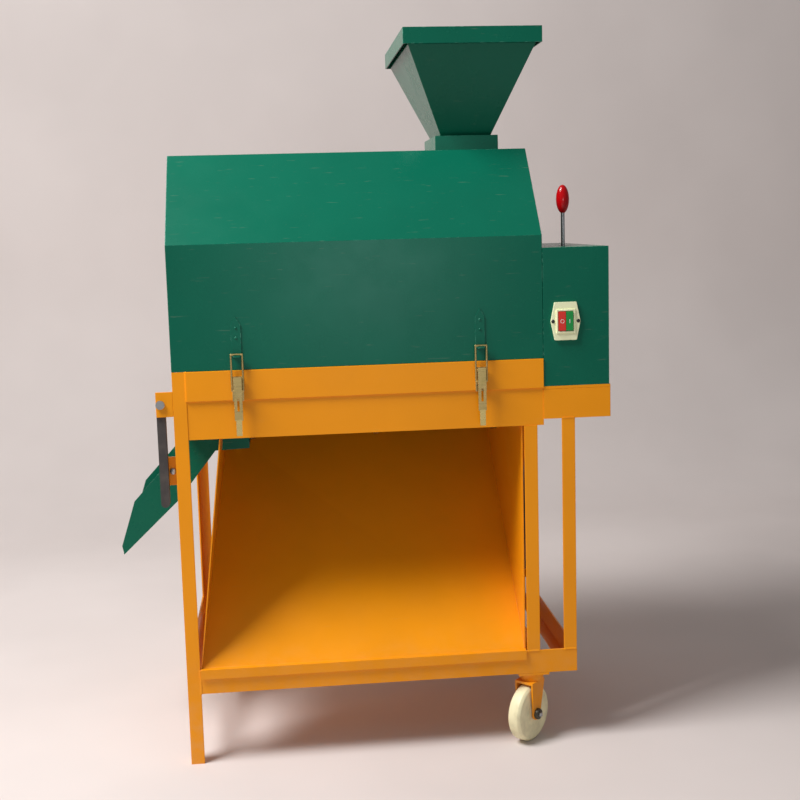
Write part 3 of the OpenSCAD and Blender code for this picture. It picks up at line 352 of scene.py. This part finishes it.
def finish(name):
    """Material of the given finish, made once."""
    material = bpy.data.materials.get(name)
    if not material:
        material = MAKERS[name]()
        material.name = name
    return material


def recipe(function):
    """Keep a finish's maker under its own name."""
    MAKERS[function.__name__] = function
    return function


@recipe
def orange_enamel():
    tint = tuple(colours().frame_orange)
    return skin(paint_group,
                {"Color": tint, "Deep": shade(tint, 0.84), "Tone": 0.6, "Gloss Low": 0.3, "Gloss High": 0.38,
                 "Dust": 0.2}, bump=0.12, specular=0.22, edge_rub_and_highlight=(srgb(150, 88, 22), 0.5, 1.3 * MM))


@recipe
def green_enamel():
    tint = tuple(colours().hood_green)
    # The pale green along the edges is partly worn paint and partly a painted highlight along the hood's
    # bends
    return skin(paint_group,
                {"Color": tint, "Deep": shade(tint, 0.8), "Tone": 0.6, "Gloss Low": 0.25, "Gloss High": 0.29,
                 "Dust": 0.45}, bump=0.05, specular=0.37, gloss_tint=(0.5, 0.8, 0.75),
                edge_rub_and_highlight=(srgb(120, 190, 168), 0.8, 2 * MM))


@recipe
def bare_steel():
    return skin(metal_group,
                {"Color": tuple(colours().steel_grey), "Tarnish": srgb(132, 128, 122), "Amount": 0.3,
                 "Gloss Low": 0.3, "Gloss High": 0.38}, metallic=1.0, bump=0.03, depth=0.1 * MM)


@recipe
def cast_iron():
    tint = tuple(colours().iron_grey)
    return skin(moulded_group,
                {"Color": tint, "Dirt": srgb(96, 74, 52), "Amount": 0.4, "Grain": 420.0, "Gloss Low": 0.5,
                 "Gloss High": 0.68}, metallic=0.25, bump=0.3, edge_rub_and_highlight=(srgb(150, 150, 148), 0.5, 1 * MM))


@recipe
def yellow_zinc():
    return skin(metal_group,
                {"Color": tuple(colours().latch_zinc), "Tarnish": srgb(176, 160, 96), "Amount": 0.5,
                 "Gloss Low": 0.24, "Gloss High": 0.34}, metallic=0.85, bump=0.02, depth=0.1 * MM)


@recipe
def grip_rubber():
    return skin(moulded_group,
                {"Color": tuple(colours().grip_black), "Dirt": srgb(116, 106, 96), "Amount": 0.35,
                 "Grain": 300.0, "Gloss Low": 0.5, "Gloss High": 0.66}, bump=0.25)


@recipe
def belt_rubber():
    return skin(moulded_group,
                {"Color": srgb(34, 33, 33), "Dirt": srgb(84, 78, 70), "Amount": 0.4, "Grain": 700.0,
                 "Gloss Low": 0.55, "Gloss High": 0.75}, bump=0.3)


@recipe
def black_moulding():
    return skin(moulded_group,
                {"Color": srgb(30, 30, 31), "Dirt": srgb(80, 76, 70), "Amount": 0.2, "Grain": 620.0},
                bump=0.15)


@recipe
def cream_nylon():
    tint = tuple(colours().wheel_cream)
    return skin(moulded_group,
                {"Color": tint, "Dirt": srgb(158, 148, 112), "Amount": 0.5, "Grain": 260.0, "Gloss Low": 0.38,
                 "Gloss High": 0.55}, bump=0.14, edge_rub_and_highlight=(srgb(164, 154, 124), 0.45, 1.6 * MM))


@recipe
def cream_plate():
    return skin(moulded_group,
                {"Color": tuple(colours().plate_cream), "Dirt": srgb(190, 184, 150), "Amount": 0.3,
                 "Grain": 640.0, "Gloss Low": 0.28, "Gloss High": 0.4}, bump=0.06)


@recipe
def knob_gloss():
    tint = tuple(colours().knob_red)
    return skin(moulded_group,
                {"Color": tint, "Dirt": shade(tint, 0.6), "Amount": 0.3, "Grain": 260.0, "Gloss Low": 0.12,
                 "Gloss High": 0.3}, coat=0.08, bump=0.03, specular=0.3)


def button_skin(tint):
    """Moulded push button of the given colour."""
    return skin(moulded_group,
                {"Color": tint, "Dirt": shade(tint, 0.7), "Amount": 0.3, "Grain": 500.0, "Gloss Low": 0.26,
                 "Gloss High": 0.36}, bump=0.05)


@recipe
def stop_gloss():
    return button_skin(tuple(colours().stop_red))


@recipe
def start_gloss():
    return button_skin(tuple(colours().start_green))


@recipe
def hub_dark():
    return skin(moulded_group,
                {"Color": srgb(66, 62, 50), "Dirt": srgb(112, 100, 74), "Amount": 0.4, "Grain": 420.0,
                 "Gloss Low": 0.34, "Gloss High": 0.5}, metallic=0.3, bump=0.12)


@recipe
def mark_white():
    return skin(moulded_group,
                {"Color": srgb(235, 235, 228), "Dirt": srgb(200, 198, 186), "Amount": 0.3, "Grain": 700.0},
                bump=0.05)


# Places and meshes

HOOD_LOW, HOOD_HIGH = node_box("hood_shell")

# Corners of a solid that are nearer than this are merged, and edges sharper than this are rounded
SAME_CORNER = 0.01 * MM
ROUNDED_EDGE = math.radians(32)
# Edges of a turned piece that are sharper than this stay sharp
SHARP_TURN = math.radians(40)


def front_face(name):
    """Middle of a solid's front face."""
    low, high = node_box(name)
    return Vector(((low.x + high.x) / 2, low.y, (low.z + high.z) / 2))


def new_piece(name, mesh, body, material):
    """Object at the origin that rides on a body."""
    piece = bpy.data.objects.new(name, mesh)
    bpy.context.scene.collection.objects.link(piece)
    mesh.materials.append(material)
    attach(piece, body)
    return piece


def paint(finish_name, *names):
    """Give solids a finish."""
    material = finish(finish_name)
    for name in names:
        solid = NODES[name]
        if not solid.material_slots:
            solid.data.materials.append(material)
        for place in solid.material_slots:
            place.material = material


def soften(width, *names):
    """Round the edges of solids a little, so that they catch the light."""
    for name in names:
        solid = NODES[name]
        weld = solid.modifiers.new("weld", "WELD")
        weld.merge_threshold = SAME_CORNER
        edge = solid.modifiers.new("edge", "BEVEL")
        edge.width = width
        edge.segments = 2
        edge.limit_method = "ANGLE"
        edge.angle_limit = ROUNDED_EDGE


def lathe(name, profile, centre, axis, body, material, steps=40):
    """Closed turned piece: the profile gives radius and distance along the axis, from end to end."""
    turn = Vector(UP).rotation_difference(Vector(axis)).to_matrix()
    mesh = bpy.data.meshes.new(name)
    bm = bmesh.new()
    rings = []
    for radius, along in profile:
        if radius == 0:
            rings.append([bm.verts.new(centre + turn @ Vector((0, 0, along)))])
            continue
        rings.append([
            bm.verts.new(centre + turn @ Vector((radius * math.cos(a), radius * math.sin(a), along)))
            for a in (2 * math.pi * i / steps for i in range(steps))])
    for low, high in zip(rings, rings[1:]):
        for i in range(steps):
            j = (i + 1) % steps
            corners = [low[i % len(low)], low[j % len(low)], high[j % len(high)], high[i % len(high)]]
            bm.faces.new(dict.fromkeys(corners))
    bmesh.ops.recalc_face_normals(bm, faces=bm.faces[:])
    for face in bm.faces:
        face.smooth = True
    bm.to_mesh(mesh)
    bm.free()
    mesh.set_sharp_from_angle(angle=SHARP_TURN)
    return new_piece(name, mesh, body, material)


def square_rim(name, half_wide, half_tall, profile, centre, body, material):
    """Closed rim round an upright rectangle that faces the front: the profile goes outwards and forwards."""
    mesh = bpy.data.meshes.new(name)
    bm = bmesh.new()
    rings = []
    for out, ahead in profile:
        x, z = half_wide + out, half_tall + out
        rings.append([bm.verts.new(centre + Vector((sx * x, -ahead, sz * z)))
                      for sx, sz in ((-1, -1), (1, -1), (1, 1), (-1, 1))])
    for low, high in zip(rings, rings[1:] + rings[:1]):
        for i in range(4):
            j = (i + 1) % 4
            bm.faces.new((low[i], low[j], high[j], high[i]))
    bmesh.ops.recalc_face_normals(bm, faces=bm.faces[:])
    bm.to_mesh(mesh)
    bm.free()
    return new_piece(name, mesh, body, material)


# Geometry trees for what repeats

def copies_tree(name, shape):
    """Tree that puts one small shape at every point, turned by the point's facing and along vectors."""
    tree = bpy.data.node_groups.new(name, "GeometryNodeTree")
    tree.interface.new_socket("Geometry", in_out="INPUT", socket_type="NodeSocketGeometry")
    size = tree.interface.new_socket("Size", in_out="INPUT", socket_type="NodeSocketVector")
    size.default_value = (4 * MM, 4 * MM, 4 * MM)
    tree.interface.new_socket("Material", in_out="INPUT", socket_type="NodeSocketMaterial")
    tree.interface.new_socket("Geometry", in_out="OUTPUT", socket_type="NodeSocketGeometry")
    w = Wires(tree)
    source, sink = w.add("NodeGroupInput"), w.add("NodeGroupOutput")
    if shape == "dome":
        solid = w.add("GeometryNodeMeshUVSphere")
        w.feed(solid, Segments=14, Rings=8, Radius=0.5)
    else:
        solid = w.add("GeometryNodeMeshCube")
        solid.inputs["Size"].default_value = (1, 1, 1)
    sized = w.add("GeometryNodeTransform")
    w.join(solid.outputs["Mesh"], sized.inputs["Geometry"])
    w.join(source.outputs["Size"], sized.inputs["Scale"])
    turned = None
    for attribute, axis, pivot in (("facing", "Z", "AUTO"), ("along", "X", "Z")):
        named = w.add("GeometryNodeInputNamedAttribute", data_type="FLOAT_VECTOR")
        named.inputs["Name"].default_value = attribute
        align = w.add("FunctionNodeAlignRotationToVector", axis=axis, pivot_axis=pivot)
        w.join(named.outputs["Attribute"], align.inputs["Vector"])
        if turned:
            w.join(turned, align.inputs["Rotation"])
        turned = align.outputs["Rotation"]
    placed = w.add("GeometryNodeInstanceOnPoints")
    w.join(source.outputs["Geometry"], placed.inputs["Points"])
    w.join(sized.outputs["Geometry"], placed.inputs["Instance"])
    w.join(turned, placed.inputs["Rotation"])
    real = w.add("GeometryNodeRealizeInstances")
    w.join(placed.outputs["Instances"], real.inputs["Geometry"])
    smooth = w.add("GeometryNodeSetShadeSmooth")
    smooth.inputs["Shade Smooth"].default_value = shape == "dome"
    w.join(real.outputs["Geometry"], smooth.inputs["Geometry"])
    painted = w.add("GeometryNodeSetMaterial")
    w.join(smooth.outputs["Geometry"], painted.inputs["Geometry"])
    w.join(source.outputs["Material"], painted.inputs["Material"])
    w.join(painted.outputs["Geometry"], sink.inputs["Geometry"])
    return tree


def copies(name, shape, points, size, material, body):
    """One plain mesh of a small shape at each (place, facing, along)."""
    tree = bpy.data.node_groups.get(f"{shape}_copies") or copies_tree(f"{shape}_copies", shape)
    mesh = bpy.data.meshes.new(name)
    mesh.from_pydata([tuple(p[0]) for p in points], [], [])
    for index, label in ((1, "facing"), (2, "along")):
        layer = mesh.attributes.new(label, "FLOAT_VECTOR", "POINT")
        for item, point in zip(layer.data, points):
            item.vector = Vector(point[index]).normalized()
    holder = bpy.data.objects.new(name, mesh)
    bpy.context.scene.collection.objects.link(holder)
    modifier = holder.modifiers.new("copies", "NODES")
    modifier.node_group = tree
    keys = {item.name: item.identifier for item in tree.interface.items_tree if item.in_out == "INPUT"}
    modifier[keys["Size"]] = size
    modifier[keys["Material"]] = material
    graph = bpy.context.evaluated_depsgraph_get()
    plain = bpy.data.meshes.new_from_object(holder.evaluated_get(graph))
    plain.name = name
    holder.modifiers.clear()
    holder.data = plain
    if not plain.materials:
        plain.materials.append(material)
    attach(holder, body)
    return holder


def run_of_beads(start, end, facing):
    """Points of a weld from start to end, with its ripples a step apart."""
    line = end - start
    count = max(2, int(line.length / sizes().bead_step))
    return [(start + line * (i + 0.5) / count, facing, line) for i in range(count)]


def rivet_points(columns, rows, y, facing):
    """Points of rivets at every x of the columns and z of the rows, on an upright face."""
    return [(Vector((x, y, z)), facing, RIGHT) for x in columns for z in rows]


# Length of a hinge's leaves, and the places of their rivets along them
HINGE_LENGTH = 60 * MM
HINGE_RIVETS = (10 * MM, 30 * MM, 50 * MM)


def hinge_columns(name):
    """Places across the machine where the hinges' leaves are riveted."""
    low, high = node_box(name)
    return [start + along for start in (low.x, high.x - HINGE_LENGTH) for along in HINGE_RIVETS]


# Operators

class HULLER_OT_frame(bpy.types.Operator):
    """Paint the angle-iron frame and the chute, and weld their joints"""
    bl_idname = "huller.frame"
    bl_label = "Frame and chute"

    def execute(self, context):
        iron = ["front_left_leg", "rear_left_leg", "right_posts", "outer_posts", "lower_rails", "cross_rails",
                "upper_rails", "trough_bands", "left_end_plate", "right_end_plate", "drive_shelf",
                "shelf_rails", "grip_lugs", "motor_base"]
        paint("orange_enamel", *iron, "husk_chute")
        soften(sizes().edge_radius, *iron)
        soften(sizes().small_edge, "husk_chute")
        overlap_share, rise_share = 1.7, 0.34
        width = sizes().bead_width
        bead = (sizes().bead_step * overlap_share, width, width * rise_share)
        copies("frame_welds", "dome", self.welds(), bead, finish("orange_enamel"), "frame")
        return {"FINISHED"}

    def welds(self):
        """Ripples where legs meet bands and rails, and posts meet rails and the shelf."""
        inset, lean = 1 * MM, 0.4
        band_low, band_top = (corner.z for corner in node_box("trough_bands"))
        rail_low, rail_top = (corner.z for corner in node_box("lower_rails"))
        shelf_low = node_box("shelf_rails")[0].z
        leg = node_box("front_left_leg")[1].x
        posts = [corner.x for corner in node_box("right_posts")]
        outer = [corner.x for corner in node_box("outer_posts")]
        points = []
        for y, out in ((HOOD_LOW.y, -1), (HOOD_HIGH.y, 1)):
            for low, high in ((band_low, band_top), (rail_low, rail_top)):
                points += run_of_beads(Vector((leg, y, low)), Vector((leg, y, high)), (0, out, 0))
            for (left, right), z, tilt in ((posts, rail_top, lean), (outer, rail_top, lean),
                                           (outer, shelf_low, -lean)):
                points += run_of_beads(Vector((left + inset, y, z)), Vector((right - inset, y, z)),
                                       (0, out, tilt))
        return points


class HULLER_OT_hood(bpy.types.Operator):
    """Paint the hood with its hopper, and rivet the keepers and the hinges"""
    bl_idname = "huller.hood"
    bl_label = "Hood and hopper"

    def execute(self, context):
        paint("green_enamel", "hood_shell", "hopper", "hopper_collar", "hood_keepers", "hinge_hood_leaves")
        soften(sizes().edge_radius, "hood_shell", "hopper", "hopper_collar")
        soften(sizes().small_edge, "hood_keepers", "hinge_hood_leaves")
        keeper_half, keeper_rows, keeper_sheet = 8 * MM, (30 * MM, 46 * MM), 1.5 * MM
        below_top, leaf_sheet = 12 * MM, 2 * MM
        low, high = node_box("hood_keepers")
        rivets = rivet_points((low.x + keeper_half, high.x - keeper_half),
                              [low.z + row for row in keeper_rows], HOOD_LOW.y - keeper_sheet, FRONT)
        top = node_box("hinge_hood_leaves")[1].z
        rivets += rivet_points(hinge_columns("hinge_hood_leaves"), [top - below_top],
                               HOOD_HIGH.y + leaf_sheet, REAR)
        r = sizes().rivet_radius
        copies("hood_rivets", "dome", rivets, (2 * r, 2 * r, 1.3 * r), finish("green_enamel"), "hood")
        return {"FINISHED"}


class HULLER_OT_drive(bpy.types.Operator):
    """Finish the drive box, the spout, the clutch, the drum and the motor"""
    bl_idname = "huller.drive"
    bl_label = "Drive, drum and spout"

    def execute(self, context):
        paint("green_enamel", "drive_box", "nut_spout")
        soften(sizes().edge_radius, "drive_box", "nut_spout")
        paint("bare_steel", "concave_screen", "screen_ribs", "fasteners", "rocker_brackets", "drum_shaft",
              "drum_core", "clutch_sleeve", "motor_shaft", "lever_rod", "shift_fork")
        paint("cast_iron", "bearing_housings", "drum_bars", "drum_pulley", "motor_pulley", "motor_body",
              "motor_fan_cover")
        soften(sizes().edge_radius, "bearing_housings", "drum_pulley", "motor_pulley", "motor_body")
        paint("belt_rubber", "v_belt")
        paint("knob_gloss", "lever_knob")
        paint("black_moulding", "cable_gland")
        self.fins()
        self.fan_ribs()
        return {"FINISHED"}

    def rays(self):
        """Directions of the fins and ribs round the motor's axis."""
        count = sizes().fin_count
        turns = (2 * math.pi * (i + 0.5) / count for i in range(count))
        return [Vector((0, math.cos(turn), math.sin(turn))) for turn in turns]

    def fins(self):
        """Cooling fins along the motor, clear of its feet and its terminal box."""
        low, high = node_box("motor_body")
        cover_low, cover_high = node_box("motor_fan_cover")
        middle = (cover_low + cover_high) / 2
        middle.x = (low.x + high.x) / 2
        foot_level, box_level, box_side = -0.45, 0.8, 0.6
        length_share, thick, sunk = 0.86, 2.2 * MM, 1 * MM
        tall = sizes().fin_height
        reach = (cover_high.z - cover_low.z) / 2 + tall / 2 - sunk
        points = [(middle + out * reach, out, RIGHT) for out in self.rays()
                  if out.z > foot_level and not (out.z > box_level and abs(out.y) < box_side)]
        copies("motor_fins", "block", points, ((high.x - low.x) * length_share, thick, tall),
               finish("cast_iron"), "frame")

    def fan_ribs(self):
        """Ribs that run out from the middle of the fan cover's end."""
        low, high = node_box("motor_fan_cover")
        radius = (high.z - low.z) / 2
        place_share, length_share, thick, tall, proud = 0.62, 0.6, 3.2 * MM, 1.6 * MM, 0.6 * MM
        centre = (low + high) / 2
        centre.x = low.x - proud
        points = [(centre + out * radius * place_share, (-1, 0, 0), out) for out in self.rays()]
        copies("fan_ribs", "block", points, (radius * length_share, thick, tall),
               finish("cast_iron"), "frame")


class HULLER_OT_switch(bpy.types.Operator):
    """Finish the push buttons with their marks and their rim, and put dark caps on the plate's screws as
    painted shade of the recessed screw holes
    """
    bl_idname = "huller.switch"
    bl_label = "Push buttons"

    def execute(self, context):
        paint("cream_plate", "switch_plate")
        paint("black_moulding", "switch_body")
        paint("stop_gloss", "stop_button")
        paint("start_gloss", "start_button")
        edge = 0.8 * MM
        soften(edge, "switch_plate", "stop_button", "start_button")
        self.marks()
        self.surround()
        return {"FINISHED"}

    def marks(self):
        """White ring on the stop button, and a white bar on the start button."""
        inner, outer, slant, sunk, proud = (v * MM for v in (2.4, 3.4, 0.2, 0.2, 0.12))
        ring = [(inner, -sunk), (inner + slant, proud), (outer - slant, proud), (outer, -sunk),
                (inner, -sunk)]
        lathe("stop_mark", ring, front_face("stop_button"), FRONT, "stop_button",
              finish("mark_white"))
        bar = (6.6 * MM, 1.0 * MM, 0.3 * MM)
        copies("start_mark", "block", [(front_face("start_button"), FRONT, UP)], bar,
               finish("mark_white"), "start_button")

    def surround(self):
        """Raised rim round the buttons, and a dark cap on each of the plate's screws, which is painted shade
        standing for the recessed screw holes.
        """
        low, high = node_box("switch_plate")
        face = front_face("switch_plate")
        button_low, button_high = node_box("stop_button")
        clear, wide, tall, edge, sunk = (v * MM for v in (1.0, 3.0, 1.8, 0.5, 0.3))
        profile = [(0, -sunk), (0, tall - edge), (edge, tall), (wide - edge, tall), (wide, tall - edge),
                   (wide, -sunk)]
        half_wide = face.x - button_low.x + clear
        half_tall = (button_high.z - button_low.z) / 2 + clear
        square_rim("button_rim", half_wide, half_tall, profile, face, "frame",
                   finish("cream_plate"))
        # Dark domes over the plate's screws: painted shade of the recessed screw holes, not real caps
        inset, cap = 3.6 * MM, (6.2 * MM, 6.2 * MM, 3.6 * MM)
        screws = rivet_points((low.x + inset, high.x - inset), [face.z], face.y, FRONT)
        copies("screw_hole_painted_shade", "dome", screws, cap, finish("black_moulding"), "frame")


class HULLER_OT_latches(bpy.types.Operator):
    """Finish the latches, the grips and the hinges' fixed halves"""
    bl_idname = "huller.latches"
    bl_label = "Latches and grips"

    def execute(self, context):
        zinc = ["latch_bases", "left_latch_lever", "right_latch_lever"]
        paint("yellow_zinc", *zinc, "left_bail", "right_bail")
        soften(sizes().small_edge, *zinc)
        paint("bare_steel", "grip_bolts", "hinge_frame_leaves", "hinge_pins")
        soften(sizes().small_edge, "hinge_frame_leaves")
        paint("grip_rubber", "front_grip", "rear_grip")
        grip_edge = 1.4 * MM
        soften(grip_edge, "front_grip", "rear_grip")
        self.rivets()
        self.rest_bolts()
        return {"FINISHED"}

    def rivets(self):
        """Domed rivets on the latches' bases and the hinges' fixed leaves."""
        r = sizes().rivet_radius
        base_half, base_rows, base_sheet = 9 * MM, (5.5 * MM, 13.5 * MM), 3.5 * MM
        above, leaf_sheet = 10 * MM, 4 * MM
        low, high = node_box("latch_bases")
        points = rivet_points((low.x + base_half, high.x - base_half),
                              [low.z + row for row in base_rows], HOOD_LOW.y - base_sheet, FRONT)
        copies("latch_rivets", "dome", points, (2 * r, 2 * r, 1.2 * r),
               finish("yellow_zinc"), "frame")
        low = node_box("hinge_frame_leaves")[0]
        points = rivet_points(hinge_columns("hinge_frame_leaves"), [low.z + above],
                              HOOD_HIGH.y + leaf_sheet, REAR)
        copies("hinge_rivets", "dome", points, (2.4 * r, 2.4 * r, 1.2 * r),
               finish("bare_steel"), "frame")

    def rest_bolts(self):
        """Domed bolt on each lug that a grip hangs against."""
        beside, above, gap = 6.5 * MM, 23 * MM, 0.5 * MM
        wide, tall, edge = 5.2 * MM, 3.4 * MM, 1.2 * MM
        profile = [(0, -gap), (wide, -gap), (wide, tall - edge), (wide - edge, tall - edge / 3), (0, tall)]
        x = node_box("front_left_leg")[0].x - beside
        z = node_box("grip_lugs")[0].z + above
        front, rear = node_box("front_grip")[1].y, node_box("rear_grip")[0].y
        for end, face, way in (("front", front, -1), ("rear", rear, 1)):
            lathe(f"{end}_rest_bolt", profile, Vector((x, face - way * gap, z)), (0, way, 0),
                  "frame", finish("bare_steel"), steps=24)


class HULLER_OT_casters(bpy.types.Operator):
    """Finish the casters, with a dark cap and a bright nut at each end of the axles"""
    bl_idname = "huller.casters"
    bl_label = "Casters"

    def execute(self, context):
        paint("orange_enamel", "caster_plates", "front_caster_fork", "rear_caster_fork")
        soften(sizes().small_edge, "caster_plates", "front_caster_fork", "rear_caster_fork")
        paint("cream_nylon", "front_caster_wheel", "rear_caster_wheel")
        wheel_edge = 1.2 * MM
        soften(wheel_edge, "front_caster_wheel", "rear_caster_wheel")
        joints = {joint["name"]: joint for joint in frame["record"]["behaviour"]["joints"]}
        for end in ("front", "rear"):
            self.axle_ends(end, joints[f"{end}_wheel_spin"])
        return {"FINISHED"}

    def axle_ends(self, end, joint):
        """Cap and nut at both ends of one wheel's axle."""
        r = sizes().hub_cap_radius
        sunk, wall, shoulder, top = (v * MM for v in (0.4, 3.6, 5.2, 6.2))
        shoulder_share, top_share = 0.93, 0.6
        cap = [(0, -sunk), (r, -sunk), (r, wall), (r * shoulder_share, shoulder), (r * top_share, top),
               (0, top)]
        wide, narrow, base, flank, crown = (v * MM for v in (4.6, 3.6, 6.0, 8.4, 9.4))
        nut = [(0, base), (wide, base), (wide, flank), (narrow, crown), (0, crown)]
        middle, axis = Vector(joint["pos_m"]), Vector(joint["axis"])
        fork_face = 17.5 * MM
        for side, label in ((1, "left"), (-1, "right")):
            way = axis * side
            place = middle + way * fork_face
            lathe(f"{end}_{label}_hub_cap", cap, place, way, f"{end}_swivel", finish("hub_dark"))
            lathe(f"{end}_{label}_nut", nut, place, way, f"{end}_swivel", finish("bare_steel"),
                  steps=6)


# Camera fitted to the photograph: its place in millimetres from the hood's left front edge and from the
# floor, its yaw, pitch and roll in degrees, its focal length and its shift
EYE = (178.25, -1949.15, 879.9)
TURNS = (5.56, 7.58, 1.56)
FOCAL_LENGTH = 54.93
SHIFT = (-0.0032, -0.0185)

# Lamps: name, direction, distance and size in metres, and power in watts
LAMPS = (("overhead", (-0.54, -0.27, 0.8), 2.7, 1.1, 108), ("front_fill", (0.06, -1.0, 0.06), 3.4, 0.7, 6))


class HULLER_OT_stage(bpy.types.Operator):
    """Pale floor, soft light and the camera"""
    bl_idname = "huller.stage"
    bl_label = "Stage"

    def execute(self, context):
        scene = context.scene
        scene.view_settings.view_transform = "Standard"
        self.floor(scene)
        self.light(scene)
        self.camera(scene)
        return {"FINISHED"}

    def floor(self, scene):
        """Floor that curves up into a backdrop, which the camera sees through from behind."""
        near, far, bend, tall, half_wide, steps = -4.0, 1.3, 0.8, 4.0, 5.0, 14
        line = [(near, 0.0), (far, 0.0)]
        for i in range(1, steps + 1):
            turn = math.pi / 2 * i / steps
            line.append((far + bend * math.sin(turn), bend - bend * math.cos(turn)))
        line.append((far + bend, tall))
        mesh = bpy.data.meshes.new("pale_floor")
        points = [(x, y, z) for y, z in line for x in (-half_wide, half_wide)]
        faces = [(2 * i, 2 * i + 1, 2 * i + 3, 2 * i + 2) for i in range(len(line) - 1)]
        mesh.from_pydata(points, [], faces)
        for face in mesh.polygons:
            face.use_smooth = True
        material = bpy.data.materials.new("pale_floor")
        material.use_nodes = True
        w = Wires(material.node_tree)
        bsdf = material.node_tree.nodes["Principled BSDF"]
        bsdf.inputs["Roughness"].default_value = 0.75
        tone = w.remap(w.noise(1.6, 3, w.place()), 0.35, 0.65)
        w.join(w.blend(tone, srgb(222, 212, 208), srgb(215, 205, 201)), bsdf.inputs["Base Color"])
        paths, side = w.add("ShaderNodeLightPath"), w.add("ShaderNodeNewGeometry")
        clear, seen = w.add("ShaderNodeBsdfTransparent"), w.add("ShaderNodeMixShader")
        behind = w.maths("MULTIPLY", paths.outputs["Is Camera Ray"], side.outputs["Backfacing"])
        w.join(behind, seen.inputs["Fac"])
        w.join(bsdf.outputs["BSDF"], seen.inputs[1])
        w.join(clear.outputs["BSDF"], seen.inputs[2])
        w.join(seen.outputs["Shader"], material.node_tree.nodes["Material Output"].inputs["Surface"])
        mesh.materials.append(material)
        floor = bpy.data.objects.new("pale_floor", mesh)
        scene.collection.objects.link(floor)

    def light(self, scene):
        """Dim room, and square lamps that face the machine's middle."""
        world = bpy.data.worlds.new("soft_room")
        world.use_nodes = True
        room = world.node_tree.nodes["Background"]
        room.inputs["Color"].default_value = (0.97, 0.985, 1.0, 1)
        room.inputs["Strength"].default_value = 0.2
        scene.world = world
        middle = Vector((0, 0, 0.6))
        for name, way, far, size, power in LAMPS:
            lamp = bpy.data.lights.new(name, "AREA")
            lamp.size = size
            lamp.energy = power
            holder = bpy.data.objects.new(name, lamp)
            way = Vector(way).normalized()
            holder.location = middle + way * far
            holder.rotation_euler = way.to_track_quat("Z", "Y").to_euler()
            scene.collection.objects.link(holder)

    def camera(self, scene):
        """Camera that sees the machine as the photograph does."""
        yaw, pitch, roll = (math.radians(turn) for turn in TURNS)
        ahead = Vector((math.sin(yaw) * math.cos(pitch), math.cos(yaw) * math.cos(pitch), -math.sin(pitch)))
        right = Vector((math.cos(yaw), -math.sin(yaw), 0))
        up = right.cross(ahead)
        across = right * math.cos(roll) - up * math.sin(roll)
        upward = right * math.sin(roll) + up * math.cos(roll)
        lens = bpy.data.cameras.new("photo_view")
        lens.sensor_fit = "HORIZONTAL"
        lens.sensor_width = 36
        lens.lens = FOCAL_LENGTH
        lens.shift_x, lens.shift_y = SHIFT
        lens.clip_end = 50
        holder = bpy.data.objects.new("photo_view", lens)
        turn = Matrix((across, upward, -ahead)).transposed().to_4x4()
        place = Vector((HOOD_LOW.x, HOOD_LOW.y, 0)) + Vector(EYE) * MM
        holder.matrix_world = Matrix.Translation(place) @ turn
        scene.collection.objects.link(holder)
        scene.camera = holder


PIECES = (HULLER_OT_frame, HULLER_OT_hood, HULLER_OT_drive, HULLER_OT_switch, HULLER_OT_latches,
          HULLER_OT_casters, HULLER_OT_stage)


class HULLER_PT_sidebar(bpy.types.Panel):
    """Buttons, sizes and colours of the huller"""
    bl_idname = "HULLER_PT_sidebar"
    bl_label = "Walnut Huller"
    bl_space_type = "VIEW_3D"
    bl_region_type = "UI"
    bl_category = "Huller"

    def draw(self, context):
        column = self.layout.column()
        for piece in PIECES:
            column.operator(piece.bl_idname)
        for group in (context.scene.huller_sizes, context.scene.huller_colours):
            box = self.layout.box()
            for key in group.__annotations__:
                box.prop(group, key)


CLASSES = (HullerColours, HullerSizes, *PIECES, HULLER_PT_sidebar)


def register():
    for kind in CLASSES:
        bpy.utils.register_class(kind)
    bpy.types.Scene.huller_colours = bpy.props.PointerProperty(type=HullerColours)
    bpy.types.Scene.huller_sizes = bpy.props.PointerProperty(type=HullerSizes)


def unregister():
    del bpy.types.Scene.huller_sizes
    del bpy.types.Scene.huller_colours
    for kind in reversed(CLASSES):
        bpy.utils.unregister_class(kind)


def main():
    register()
    for piece in PIECES:
        group, name = piece.bl_idname.split(".")
        getattr(getattr(bpy.ops, group), name)()


if __name__ == "__main__":
    main()
